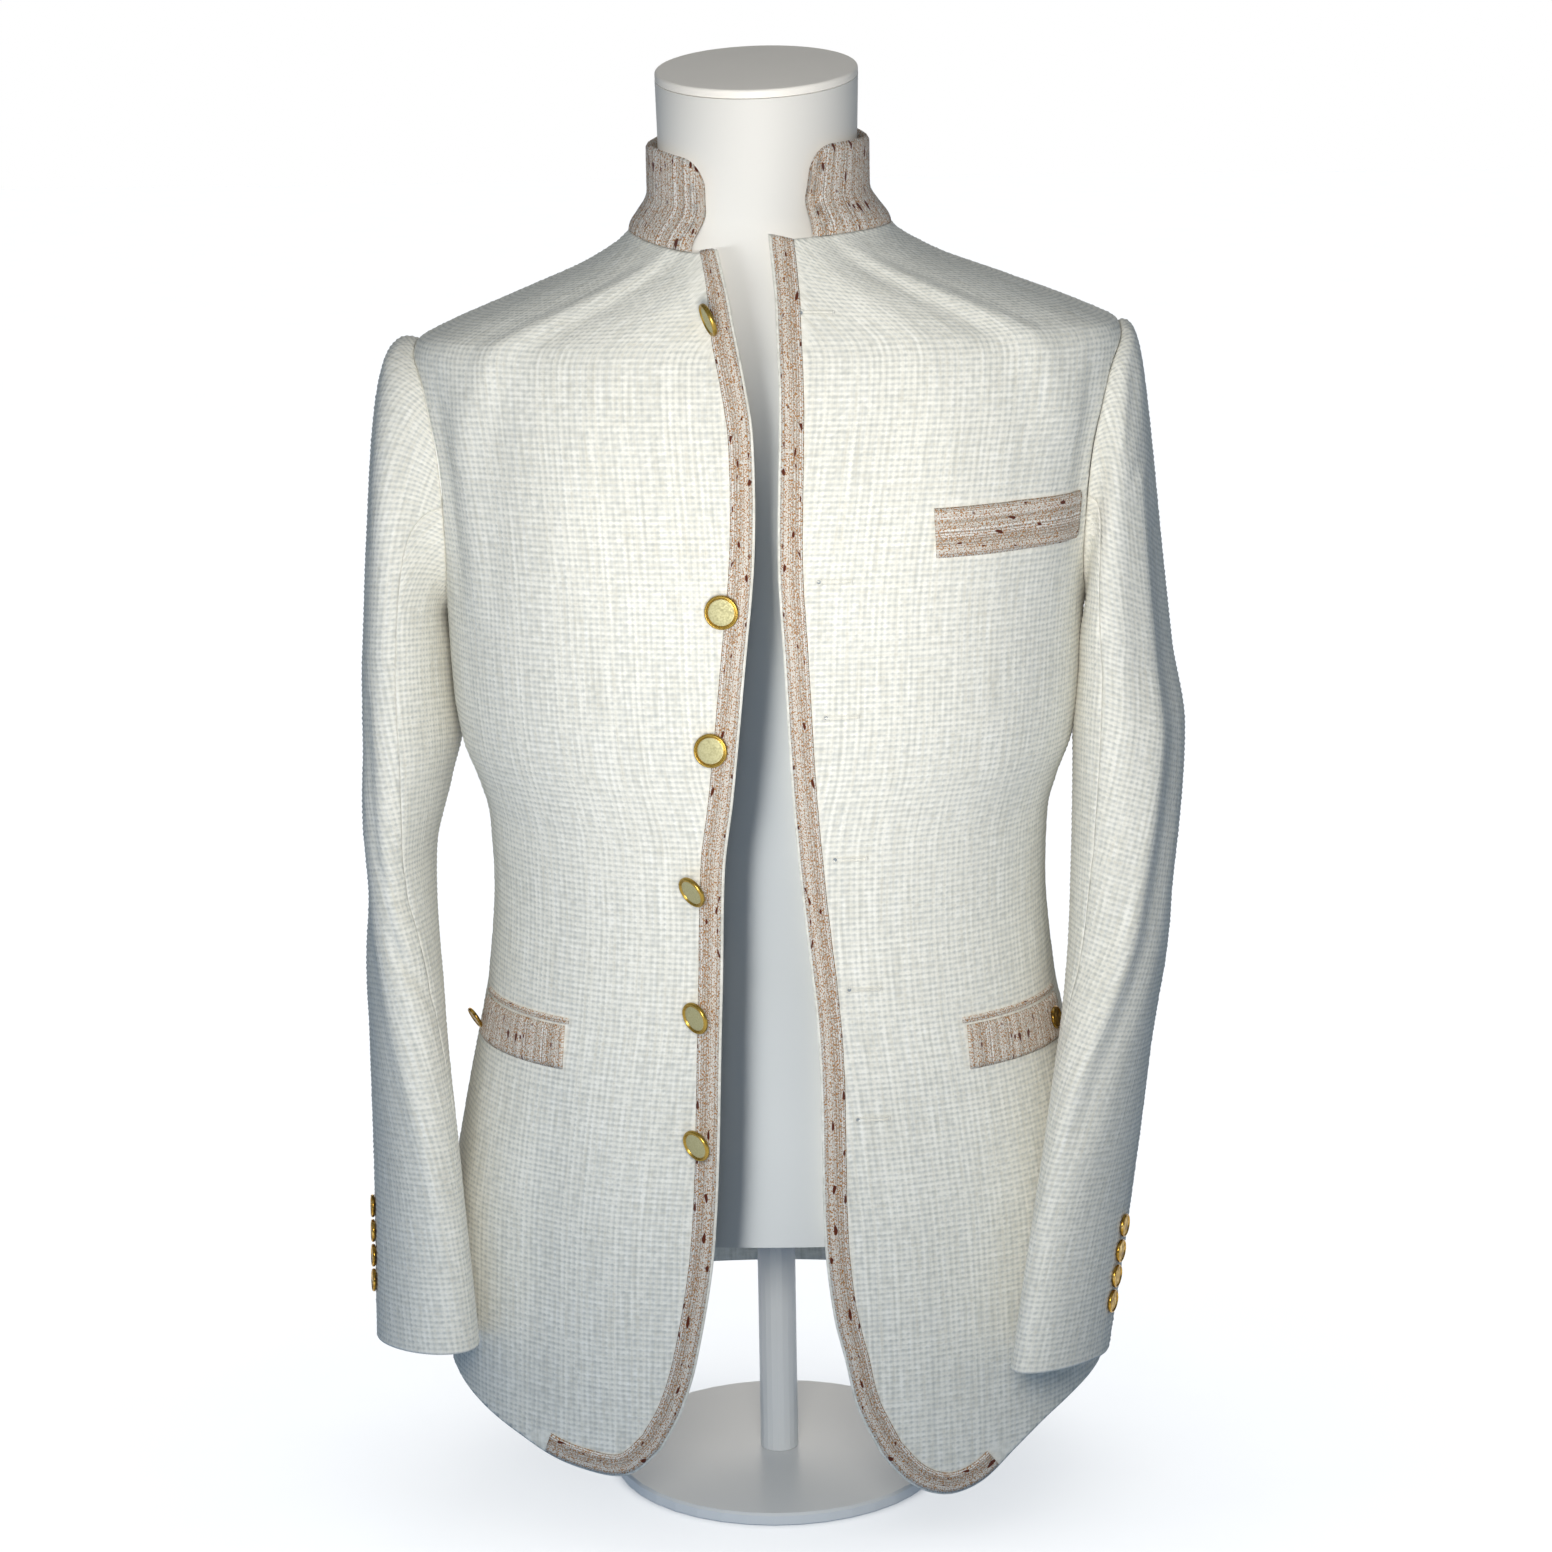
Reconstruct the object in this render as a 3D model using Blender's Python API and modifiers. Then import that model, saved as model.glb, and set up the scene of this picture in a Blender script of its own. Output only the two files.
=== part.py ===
# A tweed jacket with a stand collar and tweed-strip edges, on a limbless dress form.
# Metres, +Z up. The front faces -Y and +X is the viewer's right, the wearer's left.
# The origin is the centre of the base plate's underside.
# Names with left and right are the wearer's own.
from math import atan2, cos, degrees, hypot, pi, radians, sin

import bmesh
import bpy
from mathutils import Matrix, Vector
from mathutils.bvhtree import BVHTree

MM = 0.001

# Sizes that drive the jacket
CLOTH = 2.4 * MM            # thickness of the body's and the sleeves' cloth
TRIM_CLOTH = 1.5 * MM       # thickness of the tweed strips
COLLAR_CLOTH = 3.0 * MM     # the collar is two layers of the strip's cloth
SEAM_GAP = 0.3 * MM         # space between two pieces that are sewn together
LIE_GAP = 0.5 * MM          # space under a piece that lies on a panel
TRIM_WIDTH = 15 * MM
COLLAR_HEIGHT = 53 * MM
NECK_HEIGHT = 0.820         # side of the neckline above the floor
SHOULDER_HEIGHT = 0.755     # end of the shoulder seam above the floor
UNDERARM_HEIGHT = 0.582
SIDE_HEM = 0.085
BACK_HEM = 0.090
FRONT_SEAM_TURN = 94.0      # the seam from the underarm to the hem, degrees from the front
BACK_SEAM_HEM_TURN = 130.0
BACK_SEAM_CLOCK = 240.0     # where the back seam runs into the armhole

# Horizontal sections through the outside of the body
# height, half width, depth in front, depth behind, squareness
BODY = (
    (0.015, 0.2180, 0.1410, 0.132, 2.25),
    (0.077, 0.2170, 0.1400, 0.131, 2.25),
    (0.200, 0.2105, 0.1390, 0.126, 2.25),
    (0.250, 0.2020, 0.1380, 0.121, 2.25),
    (0.305, 0.1905, 0.1360, 0.114, 2.25),
    (0.345, 0.1825, 0.1330, 0.107, 2.22),
    (0.410, 0.1770, 0.1280, 0.099, 2.20),
    (0.450, 0.1785, 0.1285, 0.100, 2.20),
    (0.475, 0.1850, 0.1295, 0.103, 2.20),
    (0.500, 0.1940, 0.1310, 0.107, 2.20),
    (0.530, 0.1985, 0.1335, 0.114, 2.20),
    (0.600, 0.2020, 0.1370, 0.126, 2.20),
    (0.680, 0.2140, 0.1240, 0.128, 2.20),
    (0.720, 0.2210, 0.1130, 0.121, 2.20),
    (0.745, 0.2225, 0.1040, 0.112, 2.20),
    (0.755, 0.2185, 0.0990, 0.107, 2.20),
    (0.765, 0.2000, 0.0940, 0.101, 2.20),
    (0.783, 0.1550, 0.0850, 0.091, 2.15),
    (0.804, 0.1040, 0.0740, 0.078, 2.05),
    (0.820, 0.0815, 0.0670, 0.070, 2.00),
    (0.845, 0.0740, 0.0610, 0.062, 2.00),
)

# The shoulders sit a touch higher on the wearer's left and a touch to that side
LEAN_FROM = 0.55
LEAN_FULL = 0.75
LEAN_RISE = 0.015
LEAN_SHIFT = 4 * MM
LEAN_GONE = (0.775, 0.835)  # the neck stands straight above these heights

# Edge of each front from the neck to the rounded corner: height, across
FRONT_EDGE = {
    "right": (
        (0.812, -0.0240),
        (0.772, -0.0170),
        (0.737, -0.0095),
        (0.703, -0.0040),
        (0.633, -0.002),
        (0.578, -0.006),
        (0.485, -0.016),
        (0.441, -0.022),
        (0.359, -0.025),
        (0.205, -0.032),
        (0.125, -0.045),
        (0.089, -0.056),
        (0.064, -0.069),
    ),
    "left": (
        (0.819, 0.008),
        (0.772, 0.009),
        (0.726, 0.011),
        (0.633, 0.012),
        (0.573, 0.016),
        (0.485, 0.020),
        (0.421, 0.025),
        (0.327, 0.034),
        (0.205, 0.036),
        (0.155, 0.041),
        (0.124, 0.048),
        (0.093, 0.055),
        (0.060, 0.070),
    ),
}

# Hem of each front from the rounded corner to the side seam: height, across
FRONT_HEM = {
    "right": (
        (0.064, -0.069),
        (0.048, -0.085),
        (0.043, -0.098),
        (0.044, -0.116),
        (0.049, -0.139),
        (0.059, -0.163),
        (0.070, -0.188),
        (SIDE_HEM, -0.2160),
    ),
    "left": (
        (0.060, 0.070),
        (0.042, 0.085),
        (0.032, 0.100),
        (0.029, 0.116),
        (0.035, 0.135),
        (0.053, 0.157),
        (0.071, 0.182),
        (SIDE_HEM, 0.2160),
    ),
}
NECK_DROP = {"right": 12.0 * MM, "left": 3.5 * MM}
# the neckline rises again towards the front edges: turn of the edge, turn where it starts, rise
NECK_RISE_AHEAD = {"right": (-14.0, -24.0, 3.0 * MM), "left": (5.0, 16.0, 6.0 * MM)}
NECK_RISE_BEHIND = 15 * MM
NECK_BLEND = 40.0           # degrees over which one drop turns into the other

# Armhole, looked at from the side: clock (0 top, 90 front), forward, height
ARMHOLE = (
    (0, 0.000, SHOULDER_HEIGHT),
    (40, 0.034, 0.736),
    (75, 0.047, 0.697),
    (105, 0.046, 0.654),
    (140, 0.030, 0.606),
    (180, -0.008, UNDERARM_HEIGHT),
    (215, -0.045, 0.603),
    (250, -0.066, 0.655),
    (290, -0.064, 0.706),
    (325, -0.040, 0.741),
    (360, 0.000, SHOULDER_HEIGHT),
)
ARMHOLE_STEPS = 24

# Sleeve sections, each side as it hangs: height, centre across, centre forward,
# half width, half depth, twist, seam turn
SLEEVE = {
    "right": (
        (0.548, -0.2275, -0.006, 0.0266, 0.074, 6, 0),
        (0.503, -0.2268, -0.001, 0.0266, 0.073, 8, 5),
        (0.465, -0.2320, 0.004, 0.0245, 0.071, 5, 10),
        (0.420, -0.2360, 0.012, 0.0195, 0.067, 1, 17),
        (0.330, -0.2340, 0.034, 0.0240, 0.061, -10, 30),
        (0.230, -0.2270, 0.065, 0.0250, 0.054, -22, 45),
        (0.121, -0.2210, 0.091, 0.0290, 0.047, -31, 56),
    ),
    "left": (
        (0.548, 0.2285, -0.004, 0.0290, 0.072, -9, 0),
        (0.500, 0.2305, 0.002, 0.0350, 0.071, -8, 6),
        (0.390, 0.2240, 0.028, 0.0315, 0.064, -6, 22),
        (0.280, 0.2090, 0.070, 0.0250, 0.057, -22, 38),
        (0.190, 0.1945, 0.101, 0.0205, 0.051, -32, 49),
        (0.119, 0.1830, 0.119, 0.0200, 0.047, -35, 56),
    ),
}
# how far the sleeve's head stands out, how much it rises, how far it slopes in above the arm
SLEEVE_HEAD = {"right": (35 * MM, 0.45, 12 * MM), "left": (20 * MM, 0.45, 18 * MM)}
CUFF_TILT = 0.15            # the cuff's front is cut higher than its back
UNDERARM_OUT = 8 * MM
HEAD_FORWARD = 0.30
HEAD_DOWN = 0.50
HEAD_FULLNESS = 0.72
HEAD_WIDTH = 1.6            # how far down the armhole the head stays full
ARMHOLE_MIDDLE = (0.205, 0.008, 0.668)
FRONT_SLEEVE_SEAM = 7       # armhole steps from the top to each seam of the sleeve
BACK_SLEEVE_SEAM = 18
SLEEVE_ROWS = 12
HEAD_ROWS = (0.0, 0.10, 0.24, 0.42, 0.62, 0.82)

# Pockets: turn at the front end, turn at the side end, lower edge, upper edge
POCKET = {"right": (-39.5, -77.0, 0.3075, 0.3350), "left": (39.5, 78.0, 0.3065, 0.3345)}
BREAST_POCKET = (29.0, 69.0, 0.6300, 0.6600)
JET_HEIGHT = 4 * MM

# Buttons
FRONT_BUTTON_RADIUS = 10.5 * MM
SMALL_BUTTON_RADIUS = 7.4 * MM
BUTTON_HEIGHT = 0.36        # share of the radius
# share of the radius, share of the height, from the middle of the face to the back
BUTTON_PROFILE = (
    (0.00, 0.62),
    (0.66, 0.62),
    (0.76, 1.00),
    (0.92, 0.86),
    (1.00, 0.45),
    (0.90, 0.00),
    (0.00, 0.00),
)
# height, across
FRONT_BUTTONS = (
    (0.7685, -0.0285),
    (0.603, -0.0205),
    (0.518, -0.0280),
    (0.430, -0.0395),
    (0.350, -0.0390),
    (0.270, -0.0400),
)
SLEEVE_BUTTON_HEIGHTS = {
    "right": (0.2020, 0.1868, 0.1716, 0.1564),
    "left": (0.1980, 0.1828, 0.1676, 0.1524),
}
SLEEVE_BUTTON_CLOCK = 335.0
POCKET_BUTTON_TURN = {"right": -74.0, "left": 72.0}

# Dress form and stand
FORM_BOTTOM = 0.197
# height, space between the form and the jacket
FORM_CLEAR = (
    (0.197, 7.0 * MM),
    (0.580, 6.0 * MM),
    (0.660, 2.0 * MM),
    (0.700, 2.0 * MM),
    (0.740, 2.4 * MM),
    (0.800, 3.2 * MM),
)
# height, half width, half depth
NECK = (
    (0.819, 0.0660, 0.0610),
    (0.832, 0.0625, 0.0590),
    (0.860, 0.0615, 0.0590),
    (0.911, 0.0625, 0.0600),
)
NECK_TILT = 0.19
CAP_THICKNESS = 5 * MM
CAP_EDGE = 1.8 * MM
POLE_RADIUS = 12.5 * MM
BASE_RADIUS = 0.110
BASE_THICKNESS = 8 * MM
BASE_EDGE = 1.5 * MM
BASE_UNDER_EDGE = 0.6 * MM

# How finely each piece is divided
ROW_CROWDING = 0.35
SHOULDER_CROWDING = 0.6
SHOULDER_ROWS = 5
SKIRT_ROWS = 17
SIDE_ROWS = 11
FRONT_COLUMNS = 11
BACK_COLUMNS = 7
POCKET_ROWS = 2
COLLAR_COLUMNS = 26
COLLAR_CORNER_COLUMNS = (0.12, 0.45)
COLLAR_ROWS = (0.0, 0.2, 0.45, 0.75, 1.0)
TRIM_SHARES = (0.0, 0.5, 1.0)
FORM_COLUMNS = 28
FRONT_BUTTON_SIDES = 20
SMALL_BUTTON_SIDES = 14
POLE_SIDES = 20
BASE_SIDES = 40
FORM_ROWS = (
    0.197, 0.26, 0.32, 0.38, 0.44, 0.50, 0.56, 0.62, 0.67,
    0.71, 0.735, 0.75, 0.758, 0.766, 0.776, 0.788, 0.80,
)
SHARP_ANGLE = radians(40)

# Shares of the front edge that lie level with the shoulder's end and the underarm
EDGE_AT_SHOULDER = 0.075
EDGE_AT_UNDERARM = 0.295
BACK_AT_SHOULDER = 0.770    # height of the centre back level with the shoulder's end

# Steps that measure how a surface runs
TURN_STEP = 0.4
HEIGHT_STEP = 0.4 * MM
CLOCK_STEP = 4.0
SLEEVE_STEP = 5 * MM

# Small distances and places
PANEL_REACH = 10 * MM       # a panel lies this near the body's own surface
COLUMN_SPACE = 1.0          # degrees between two columns of a strip
TRIM_END_SHARE = 0.52       # how far along the hem the strip ends
TRIM_INSET = 0.4 * MM
WELT_LIFT = 0.8 * MM
WELT_CLOTH = 2.2 * MM
JET_GAP = 1.0 * MM
FRONT_BUTTON_LIFT = LIE_GAP + TRIM_CLOTH + 0.5 * MM
SLEEVE_BUTTON_LIFT = 0.5 * MM
POCKET_BUTTON_GAP = 0.9 * MM
SLEEVE_SEAM_GAP = 0.4 * MM

# Collar: turn of its two ends in front at its base and at its top, its corners and top edge
COLLAR_ENDS = (24.0, 334.5)
COLLAR_TOP_ENDS = (30.0, 333.5)
COLLAR_ROUND = 14.0
COLLAR_CORNER = 0.30
COLLAR_FLARE = 24 * MM
COLLAR_TOP = (0.0690, 0.0650)
COLLAR_LIFT = 0.8 * MM

COLOURS = {
    "cream_tweed": ((0.80, 0.78, 0.69), 0.9, 0.0),
    "rose_tweed": ((0.50, 0.36, 0.28), 0.9, 0.0),
    "gold_metal": ((0.72, 0.56, 0.28), 0.28, 1.0),
    "white_form": ((0.86, 0.87, 0.88), 0.5, 0.0),
    "grey_cap": ((0.38, 0.35, 0.32), 0.55, 0.0),
    "white_paint": ((0.82, 0.83, 0.84), 0.4, 0.0),
}


def clear_scene():
    for thing in list(bpy.data.objects):
        bpy.data.objects.remove(thing, do_unlink=True)


def material(name):
    if name in bpy.data.materials:
        return bpy.data.materials[name]
    colour, roughness, metallic = COLOURS[name]
    made = bpy.data.materials.new(name)
    made.use_nodes = True
    shader = made.node_tree.nodes["Principled BSDF"]
    shader.inputs["Base Color"].default_value = (*colour, 1.0)
    shader.inputs["Roughness"].default_value = roughness
    shader.inputs["Metallic"].default_value = metallic
    made.diffuse_color = (*colour, 1.0)
    return made


def link(thing, material_name):
    thing.data.materials.append(material(material_name))
    collection.objects.link(thing)
    for face in thing.data.polygons:
        face.use_smooth = True
    thing.data.set_sharp_from_angle(angle=SHARP_ANGLE)
    return thing


def mix(a, b, share):
    return a + (b - a) * share


def ease(share):
    share = max(0.0, min(1.0, share))
    return share * share * (3 - 2 * share)


def smooth(rows, at, column):
    """A value of a table at a height, without overshoot between its rows."""
    rows = sorted(rows)
    heights = [row[0] for row in rows]
    values = [row[column] for row in rows]
    at = max(heights[0], min(heights[-1], at))
    last = len(rows) - 2
    k = min(last, max(i for i in range(len(rows)) if heights[i] <= at))
    rise = [
        (values[i + 1] - values[i]) / (heights[i + 1] - heights[i])
        for i in range(len(rows) - 1)
    ]

    def slope(i):
        if i == 0 or i == len(rows) - 1:
            return rise[min(i, last)]
        before, after = rise[i - 1], rise[i]
        return 0.0 if before * after <= 0 else 2 * before * after / (before + after)

    step = heights[k + 1] - heights[k]
    t = (at - heights[k]) / step
    return (
        (2 * t**3 - 3 * t * t + 1) * values[k]
        + (t**3 - 2 * t * t + t) * step * slope(k)
        + (3 * t * t - 2 * t**3) * values[k + 1]
        + (t**3 - t * t) * step * slope(k + 1)
    )


def spline(points, at):
    """A point on a soft curve through the given points, at a share of its length."""
    far = [0.0]
    for a, b in zip(points, points[1:]):
        far.append(far[-1] + hypot(*(q - p for p, q in zip(a, b))))
    want = at * far[-1]
    k = min(len(points) - 2, max(i for i in range(len(points)) if far[i] <= want + 1e-12))
    step = far[k + 1] - far[k]
    t = (want - far[k]) / step

    def slope(i, axis):
        lower, upper = max(i - 1, 0), min(i + 1, len(points) - 1)
        return (points[upper][axis] - points[lower][axis]) / (far[upper] - far[lower])

    return tuple(
        (2 * t**3 - 3 * t * t + 1) * points[k][axis]
        + (t**3 - 2 * t * t + t) * step * slope(k, axis)
        + (3 * t * t - 2 * t**3) * points[k + 1][axis]
        + (t**3 - t * t) * step * slope(k + 1, axis)
        for axis in range(len(points[0]))
    )


def lean(point):
    share = ease((point.z - LEAN_FROM) / (LEAN_FULL - LEAN_FROM))
    rise = LEAN_RISE * point.x * share
    gone = ease((point.z - LEAN_GONE[0]) / (LEAN_GONE[1] - LEAN_GONE[0]))
    return Vector((point.x + LEAN_SHIFT * share * (1 - gone), point.y, point.z + rise))


def signed_power(value, power):
    return abs(value) ** power * (1 if value >= 0 else -1)


def body_point(turn, height):
    """Outside of the body. Turn is 0 at the front, 90 at +X, 180 behind."""
    half_width = smooth(BODY, height, 1)
    front = cos(radians(turn)) >= 0
    depth = smooth(BODY, height, 2 if front else 3)
    power = 2 / smooth(BODY, height, 4)
    across = half_width * signed_power(sin(radians(turn)), power)
    back = -depth * signed_power(cos(radians(turn)), power)
    return lean(Vector((across, back, height)))


def body_normal(turn, height):
    round_it = body_point(turn + TURN_STEP, height) - body_point(turn - TURN_STEP, height)
    up_it = body_point(turn, height + HEIGHT_STEP) - body_point(turn, height - HEIGHT_STEP)
    return round_it.cross(up_it).normalized()


def turn_across(across, height):
    """The turn of a point in front that lies this far across."""
    share = min(1.0, abs(across) / smooth(BODY, height, 1))
    square = smooth(BODY, height, 4)
    turn = degrees(atan2(share ** (square / 2), max(0.0, 1 - share**square) ** 0.5))
    return turn if across >= 0 else -turn


def turn_forward(side_sign, forward, height):
    """The turn of a point at the side that lies this far forward of the shoulder."""
    depth = smooth(BODY, height, 2 if forward >= 0 else 3)
    square = smooth(BODY, height, 4)
    share = min(1.0, abs(forward) / depth)
    turn = degrees(atan2((1 - share**square) ** 0.5, share ** (square / 2)))
    return side_sign * (turn if forward >= 0 else 180 - turn)


def neck_height(turn):
    turn = (turn + 180) % 360 - 180
    facing = cos(radians(turn))
    if facing < 0:
        return NECK_HEIGHT + NECK_RISE_BEHIND * facing * facing
    left = ease(0.5 + turn / NECK_BLEND)
    drop = mix(NECK_DROP["right"], NECK_DROP["left"], left)
    edge, start, rise = NECK_RISE_AHEAD["left" if turn > 0 else "right"]
    return NECK_HEIGHT - drop * facing * facing + rise * ease((start - turn) / (start - edge))


def closed_mesh(name, outer, inner, material_name):
    """A wall between two grids of points with the same rows and columns."""
    rows, columns = len(outer), len(outer[0])
    wall = bmesh.new()
    out = [[wall.verts.new(p) for p in row] for row in outer]
    into = [[wall.verts.new(p) for p in row] for row in inner]
    for i in range(rows - 1):
        for j in range(columns - 1):
            wall.faces.new((out[i][j], out[i + 1][j], out[i + 1][j + 1], out[i][j + 1]))
            wall.faces.new((into[i][j], into[i][j + 1], into[i + 1][j + 1], into[i + 1][j]))
    for j in range(columns - 1):
        wall.faces.new((out[0][j], out[0][j + 1], into[0][j + 1], into[0][j]))
        wall.faces.new((out[-1][j + 1], out[-1][j], into[-1][j], into[-1][j + 1]))
    for i in range(rows - 1):
        wall.faces.new((out[i + 1][0], out[i][0], into[i][0], into[i + 1][0]))
        wall.faces.new((out[i][-1], out[i + 1][-1], into[i + 1][-1], into[i][-1]))
    bmesh.ops.recalc_face_normals(wall, faces=wall.faces)
    made = bpy.data.meshes.new(name)
    wall.to_mesh(made)
    wall.free()
    return link(bpy.data.objects.new(name, made), material_name)


def wall_on_body(name, grid, thickness, material_name):
    """Cloth whose outside is the body's own surface, through (turn, height) points."""
    grids[name] = grid
    outer = [[body_point(*at) for at in row] for row in grid]
    inner = [
        [p - body_normal(*at) * thickness for p, at in zip(points, row)]
        for points, row in zip(outer, grid)
    ]
    wide = len(outer[0])
    corners = [i * wide + j for i in range(len(outer) - 1) for j in range(wide - 1)]
    faces = [(k, k + wide, k + wide + 1, k + 1) for k in corners]
    trees[name] = BVHTree.FromPolygons([p for row in outer for p in row], faces)
    return closed_mesh(name, outer, inner, material_name)


def on_panel(panel, turn, height):
    """The point of a finished panel that lies at this turn and height."""
    outward = body_normal(turn, height)
    start = body_point(turn, height)
    hit = trees[panel].ray_cast(start + outward * PANEL_REACH, -outward, 2 * PANEL_REACH)[0]
    if hit is None:
        hit = trees[panel].find_nearest(start)[0]
    return hit, outward


def laid_strip(name, panel, grid, thickness, material_name, lift=LIE_GAP):
    """A flat piece that lies on a panel, through (turn, height) points."""
    under, over = [], []
    for row in grid:
        places = [on_panel(panel, *at) for at in row]
        under.append([p + n * lift for p, n in places])
        over.append([p + n * (lift + thickness) for p, n in places])
    return closed_mesh(name, over, under, material_name)


def shift(turn, height, round_by, up_by):
    """Move a (turn, height) point by lengths measured on the body."""
    wide = (body_point(turn + TURN_STEP, height) - body_point(turn - TURN_STEP, height)).length
    tall = (body_point(turn, height + HEIGHT_STEP) - body_point(turn, height - HEIGHT_STEP)).length
    return turn + round_by * 2 * TURN_STEP / wide, height + up_by * 2 * HEIGHT_STEP / tall


def armhole(side_sign, clock):
    """(turn, height) of the armhole's edge at a clock angle."""
    rows = ARMHOLE
    k = min(len(rows) - 2, max(i for i in range(len(rows)) if rows[i][0] <= clock))
    step = rows[k + 1][0] - rows[k][0]
    t = (clock - rows[k][0]) / step

    def slope(i, axis):
        after = rows[i + 1] if i < len(rows) - 1 else (rows[1][0] + 360, *rows[1][1:])
        before = rows[i - 1] if i > 0 else (rows[-2][0] - 360, *rows[-2][1:])
        return (after[axis] - before[axis]) / (after[0] - before[0])

    forward, height = (
        (2 * t**3 - 3 * t * t + 1) * rows[k][axis]
        + (t**3 - 2 * t * t + t) * step * slope(k, axis)
        + (3 * t * t - 2 * t**3) * rows[k + 1][axis]
        + (t**3 - t * t) * step * slope(k + 1, axis)
        for axis in (1, 2)
    )
    height = min(height, SHOULDER_HEIGHT)
    return turn_forward(side_sign, forward, height), height


def armhole_clocks(first, last):
    step = 360 / ARMHOLE_STEPS
    count = round(abs(last - first) / step)
    return [mix(first, last, i / count) for i in range(count + 1)]


def patch(left, right, top, bottom):
    """Fill a grid of (turn, height) points between its four edges."""
    rows, columns = len(left), len(top)
    grid = []
    for i in range(rows):
        t = i / (rows - 1)
        row = []
        for j in range(columns):
            s = j / (columns - 1)
            row.append(
                tuple(
                    mix(left[i][a], right[i][a], s)
                    + mix(top[j][a], bottom[j][a], t)
                    - mix(mix(top[0][a], top[-1][a], s), mix(bottom[0][a], bottom[-1][a], s), t)
                    for a in (0, 1)
                )
            )
        grid.append(row)
    return grid


def closing(share):
    """Shares that lie closer together towards the hem."""
    return share * (1 + ROW_CROWDING - ROW_CROWDING * share)


def shoulder_heights(count):
    """Heights down the shoulder seam, closer together at its end."""
    shares = [mix(i / count, ease(i / count), SHOULDER_CROWDING) for i in range(count)]
    return [mix(NECK_HEIGHT, SHOULDER_HEIGHT, share) for share in shares]


def front_panel(side):
    sign = -1 if side == "right" else 1
    gap = SEAM_GAP / 2
    shoulder = [(sign * 90.0, h) for h in shoulder_heights(SHOULDER_ROWS)]
    shoulder = [shift(*at, -sign * gap, 0) for at in shoulder]
    sleeve = [armhole(sign, c) for c in armhole_clocks(0, 180)]
    sleeve[0] = shift(*sleeve[0], -sign * gap, 0)
    sleeve[-1] = shift(*sleeve[-1], -sign * gap, 0)
    seam = []
    for i in range(1, SKIRT_ROWS + 1):
        at = (sign * FRONT_SEAM_TURN, mix(UNDERARM_HEIGHT, SIDE_HEM, closing(i / SKIRT_ROWS)))
        seam.append(shift(*at, -sign * gap, 0))
    right = shoulder + sleeve + seam
    left = []
    for i in range(len(right)):
        if i < SHOULDER_ROWS:
            share = mix(0, EDGE_AT_SHOULDER, i / SHOULDER_ROWS)
        elif i < SHOULDER_ROWS + len(sleeve):
            share = mix(EDGE_AT_SHOULDER, EDGE_AT_UNDERARM, (i - SHOULDER_ROWS) / (len(sleeve) - 1))
        else:
            share = closing((i - SHOULDER_ROWS - len(sleeve) + 1) / SKIRT_ROWS)
            share = mix(EDGE_AT_UNDERARM, 1, share)
        height, across = spline(FRONT_EDGE[side], share)
        left.append((turn_across(across, height), height))
    top = []
    for j in range(FRONT_COLUMNS + 1):
        turn = mix(left[0][0], right[0][0], j / FRONT_COLUMNS)
        top.append((turn, neck_height(turn)))
    left[0] = top[0]
    right[0] = top[-1]
    bottom = []
    for j in range(FRONT_COLUMNS + 1):
        height, across = spline(FRONT_HEM[side], j / FRONT_COLUMNS)
        bottom.append((turn_across(across, height), height))
    bottom[0] = left[-1]
    bottom[-1] = right[-1]
    return wall_on_body("front_" + side, patch(left, right, top, bottom), CLOTH, "cream_tweed")


def back_seam_turn(height):
    """The seam between the side panel and the back."""
    top_turn, top_height = armhole(1, BACK_SEAM_CLOCK)
    share = (height - SIDE_HEM) / (top_height - SIDE_HEM)
    return mix(BACK_SEAM_HEM_TURN, top_turn, share)


def side_panel(side):
    sign = -1 if side == "right" else 1
    gap = SEAM_GAP / 2
    clocks = armhole_clocks(180, BACK_SEAM_CLOCK)
    top = [armhole(sign, c) for c in clocks]
    low = mix(SIDE_HEM, BACK_HEM, 0.5)
    left, right = [], []
    for i in range(SIDE_ROWS + 1):
        height = mix(top[0][1], SIDE_HEM, i / SIDE_ROWS)
        left.append(shift(sign * FRONT_SEAM_TURN, height, sign * gap, 0))
        height = mix(top[-1][1], low, i / SIDE_ROWS)
        right.append(shift(sign * back_seam_turn(height), height, -sign * gap, 0))
    top[0] = left[0]
    top[-1] = right[0]
    count = len(top) - 1
    bottom = [
        tuple(mix(left[-1][a], right[-1][a], j / count) for a in (0, 1)) for j in range(count + 1)
    ]
    return wall_on_body("side_" + side, patch(left, right, top, bottom), CLOTH, "cream_tweed")


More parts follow.
